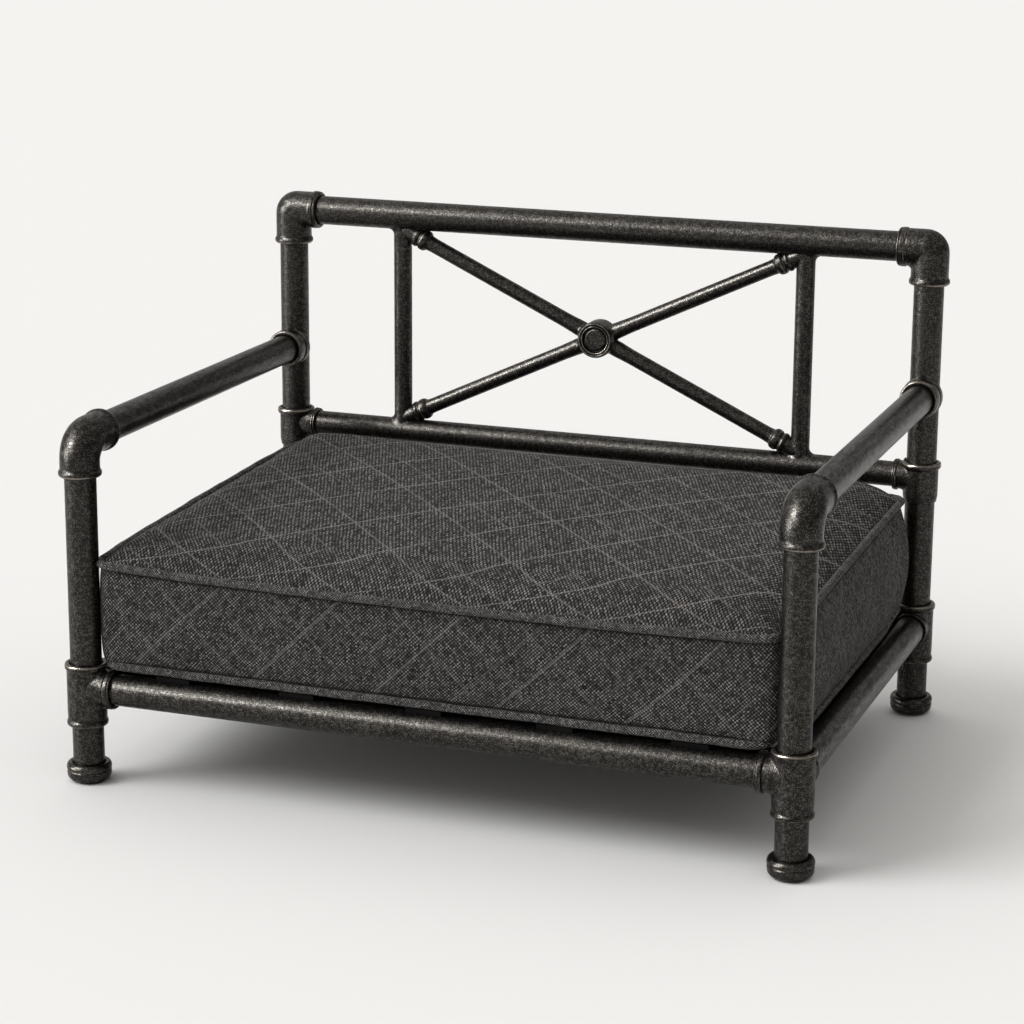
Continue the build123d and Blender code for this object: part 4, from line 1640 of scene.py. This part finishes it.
@dataclass(frozen=True)
class Zip:
    """The zip in the back of the boxing: woven tape, a row of teeth, and a slider with its pull."""

    finishes: Finishes
    half: float = 260.0
    y: float = 236.2
    z: float = 185.2
    tape_half: float = 12.0
    tape_thick: float = 0.5
    tape_gap: float = 0.7
    tooth_pitch: float = 2.6
    tooth_inset: float = 4.0
    tooth_offset: float = 0.55
    tooth_front: float = 1.2
    tooth_sink: float = 0.3
    tooth_size: Triple = (0.95, 1.9, 0.6)
    slider_x: float = -240.0
    slider_y: float = 237.5
    slider_half: float = 5.4
    slider_taper: float = 0.22

    @staticmethod
    def slab(shell: Shell, edge: Array, low: float, high: float, bevel: float, wear: float = 0.0) -> None:
        """Adds a plate with rounded edges that faces back.

        Args:
            shell: where it goes.
            edge: corners as x and z, clockwise seen from the back.
            low: y of its front face.
            high: y of its back face.
            bevel: how far its edges are rounded.
            wear: wear of its rim.
        """
        centre = edge.mean(0)
        spread = edge - centre
        size = np.linalg.norm(spread, axis=1, keepdims=True)
        inner = centre + spread * (1 - bevel / size)
        rings = []
        for shape, y in ((inner, low), (edge, low + bevel), (edge, high - bevel), (inner, high)):
            rings.append(np.column_stack([shape[:, 0], np.full(len(shape), y), shape[:, 1]]))
        shell.skin(rings, [0.0, 0.0, wear, wear])

    @staticmethod
    def oblong(x: float, z: float, half_x: float, half_z: float, corner: float) -> Array:
        """A rounded rectangle as x and z, clockwise seen from the back."""
        spots = []
        for sx, sz, start in ((1, -1, -0.5), (1, 1, 0.0), (-1, 1, 0.5), (-1, -1, 1.0)):
            for step in range(4):
                turn = math.pi * (start + step / 6)
                spots.append((x + sx * (half_x - corner) + corner * math.cos(turn),
                              z + sz * (half_z - corner) + corner * math.sin(turn)))
        return np.array(spots)[::-1]

    def tape(self) -> Piece:
        """Makes the two halves of the tape, with flat places for their weave."""
        shell = Shell()
        for side in (-1, 1):
            middle = self.z + side * (self.tape_half + self.tape_gap) / 2
            edge = self.oblong(0.0, middle, self.half, (self.tape_half - self.tape_gap) / 2, 1.2)
            self.slab(shell, edge, self.y, self.y + self.tape_thick, 0.15)
        strip = shell.piece("zip_tape_woven")
        places = strip.data.uv_layers.new(name="cloth")
        for loop in strip.data.loops:
            spot = strip.data.vertices[loop.vertex_index].co
            places.data[loop.index].uv = (spot.x, spot.z)
        return strip

    def teeth(self) -> Piece:
        """Makes the row of teeth, set a little up and down by turns."""
        shell = Shell()
        for step in range(int(2 * (self.half - self.tooth_inset) / self.tooth_pitch)):
            x = self.tooth_inset - self.half + step * self.tooth_pitch
            z = self.z + (self.tooth_offset if step % 2 else -self.tooth_offset)
            edge = self.oblong(x, z, *self.tooth_size)
            self.slab(shell, edge, self.y - self.tooth_sink, self.y + self.tooth_front, 0.25, 0.5)
        return shell.piece("zip_teeth")

    def slider(self) -> Piece:
        """Makes the slider: a tapered shield, its bridge and the pull with a raised panel."""
        shell = Shell()
        x, y, z, half = self.slider_x, self.slider_y, self.z, self.slider_half
        shield = self.oblong(x, z, half, 4.4, 1.8)
        taper = np.clip((x + half - shield[:, 0]) / (2 * half), 0, 1)
        shield[:, 1] = z + (shield[:, 1] - z) * (1 - self.slider_taper * taper)
        plates = (
            (shield, 0.0, 1.5, 0.4, 0.7),
            (self.oblong(x, z, 3.6, 1.5, 0.9), 1.2, 2.6, 0.4, 0.8),
            (self.oblong(x, z + 0.4, 1.3, 4.1, 0.9), 2.2, 3.4, 0.35, 0.8),
            (self.oblong(x, z - 10.5, 3.3, 10.9, 2.4), 2.7, 4.0, 0.4, 0.8),
            (self.oblong(x, z - 11.5, 2.1, 8.3, 1.5), 3.8, 4.3, 0.2, 0.4),
        )
        for edge, low, high, bevel, wear in plates:
            self.slab(shell, edge, y + low, y + high, bevel, wear)
        return shell.piece("zip_slider_pull")

    def build(self) -> None:
        """Makes and dresses the tape, its teeth and the slider."""
        metal = self.finishes.metal
        settle(self.tape(), Body.CUSHION, Slot.TAPE, self.finishes.tape, "zip_tape")
        settle(self.teeth(), Body.CUSHION, Slot.METAL, metal)
        settle(self.slider(), Body.SLIDER, Slot.METAL, metal, "zip_slider")


# The studio


@dataclass(frozen=True)
class Lamp:
    """A distant lamp: the way to it, its strength, its width in degrees, and if it lights matt surfaces."""

    name: str
    towards: Triple
    strength: float
    width: float
    matt: bool = True


@dataclass(frozen=True)
class Studio:
    """A pale floor under even light, with a soft key from the upper left, and the camera."""

    target: Triple = (-0.00623, 0.0, 0.26407)
    distance: float = 3.0768
    azimuth: float = 20.02
    elevation: float = 14.59
    roll: float = 0.40
    lens: float = 99.88
    floor_half: float = 400.0
    floor_tone: Triple = (0.845, 0.842, 0.835)
    floor_patch: Triple = (0.815, 0.811, 0.80)
    sky_low: float = 0.40
    sky_high: float = 0.84
    sky_lean: float = 0.45
    sky_tone: Triple = (1.0, 0.982, 0.955)
    lamp_tone: Triple = (0.99, 1.0, 1.01)
    sensor: float = 36.0
    sight: float = 1500.0
    LAMPS = (
        Lamp("key", (-0.62, -0.42, 0.66), 1.6, 34.0),
        Lamp("rim", (0.75, 0.35, 0.55), 0.06, 20.0),
        Lamp("glint", (-0.60, -0.60, 0.53), 4.4, 12.0, matt=False),
        Lamp("streak", (-0.85, -0.52, 0.05), 3.6, 20.0, matt=False),
    )

    def floor(self) -> None:
        """Lays the floor."""
        h = self.floor_half
        mesh = bpy.data.meshes.new("studio_floor")
        mesh.from_pydata([(-h, -h, 0), (h, -h, 0), (h, h, 0), (-h, h, 0)], [], [(0, 1, 2, 3)])
        floor = link("studio_floor", mesh)
        paint = Paint("studio_paper")
        grain = paint.ramp(paint.noise(paint.point(), 2.0), 0.2, 0.8, 0.0, 0.03)
        colour = paint.blend(grain, self.floor_tone, self.floor_patch)
        sockets = {"Base Color": colour, "Roughness": 0.9, "Specular IOR Level": 0.1}
        mesh.materials.append(paint.close(sockets))

    def light(self) -> None:
        """Sets the sky and the lamps."""
        scene = bpy.context.scene
        scene.world = bpy.data.worlds.new("studio_sky")
        scene.world.use_nodes = True
        sheet = Sheet(scene.world.node_tree)
        way = sheet.put("TexCoord").outputs["Generated"]
        level = sheet.ramp(sheet.axis(way, 2), 0.0, 0.9, self.sky_low, self.sky_high)
        lean = sheet.ramp(sheet.axis(way, 0), -1.0, 1.0, 1.0 + self.sky_lean, 1.0 - self.sky_lean)
        back = next(n for n in sheet.tree.nodes if n.type == "BACKGROUND")
        sheet.fill(back, {"Color": (*self.sky_tone, 1.0), "Strength": sheet.times(level, lean)})
        for lamp in self.LAMPS:
            self.hang(lamp)

    def hang(self, lamp: Lamp) -> None:
        """Hangs a lamp.

        Args:
            lamp: what it is like.
        """
        sun = bpy.data.lights.new(lamp.name, "SUN")
        sun.energy = lamp.strength
        sun.color = self.lamp_tone
        sun.angle = math.radians(lamp.width)
        hung = bpy.data.objects.new(lamp.name, sun)
        hung.rotation_mode = "QUATERNION"
        hung.rotation_quaternion = Vector(lamp.towards).to_track_quat("Z", "Y")
        hung.visible_diffuse = lamp.matt
        bpy.context.scene.collection.objects.link(hung)

    def camera(self) -> None:
        """Sets the camera at the photograph's angle."""
        a, e, r = (math.radians(v) for v in (self.azimuth, self.elevation, self.roll))
        back = Vector((math.sin(a) * math.cos(e), -math.cos(a) * math.cos(e), math.sin(e)))
        level = Vector((math.cos(a), math.sin(a), 0.0))
        upright = back.cross(level)
        right = level * math.cos(r) + upright * math.sin(r)
        up = upright * math.cos(r) - level * math.sin(r)
        eye = bpy.data.cameras.new("studio_camera")
        eye.lens, eye.sensor_width = self.lens, self.sensor
        eye.clip_end = self.sight
        camera = bpy.data.objects.new("studio_camera", eye)
        place = Matrix((right, up, back)).transposed().to_4x4()
        place.translation = Vector(self.target) + back * self.distance
        camera.matrix_world = place
        bpy.context.scene.collection.objects.link(camera)
        bpy.context.scene.camera = camera

    def build(self) -> None:
        """Sets the whole studio."""
        bpy.context.scene.view_settings.view_transform = "Standard"
        self.floor()
        self.light()
        self.camera()


def main() -> None:
    """Builds the studio, the frame, the cushion and its zip."""
    logging.basicConfig(level=logging.INFO, format="%(name)s: %(message)s")
    Studio().build()
    finishes = Finishes()
    Frame(PipeWork(), finishes).build()
    Cushion(finishes).build()
    Zip(finishes).build()


if __name__ == "__main__":
    main()
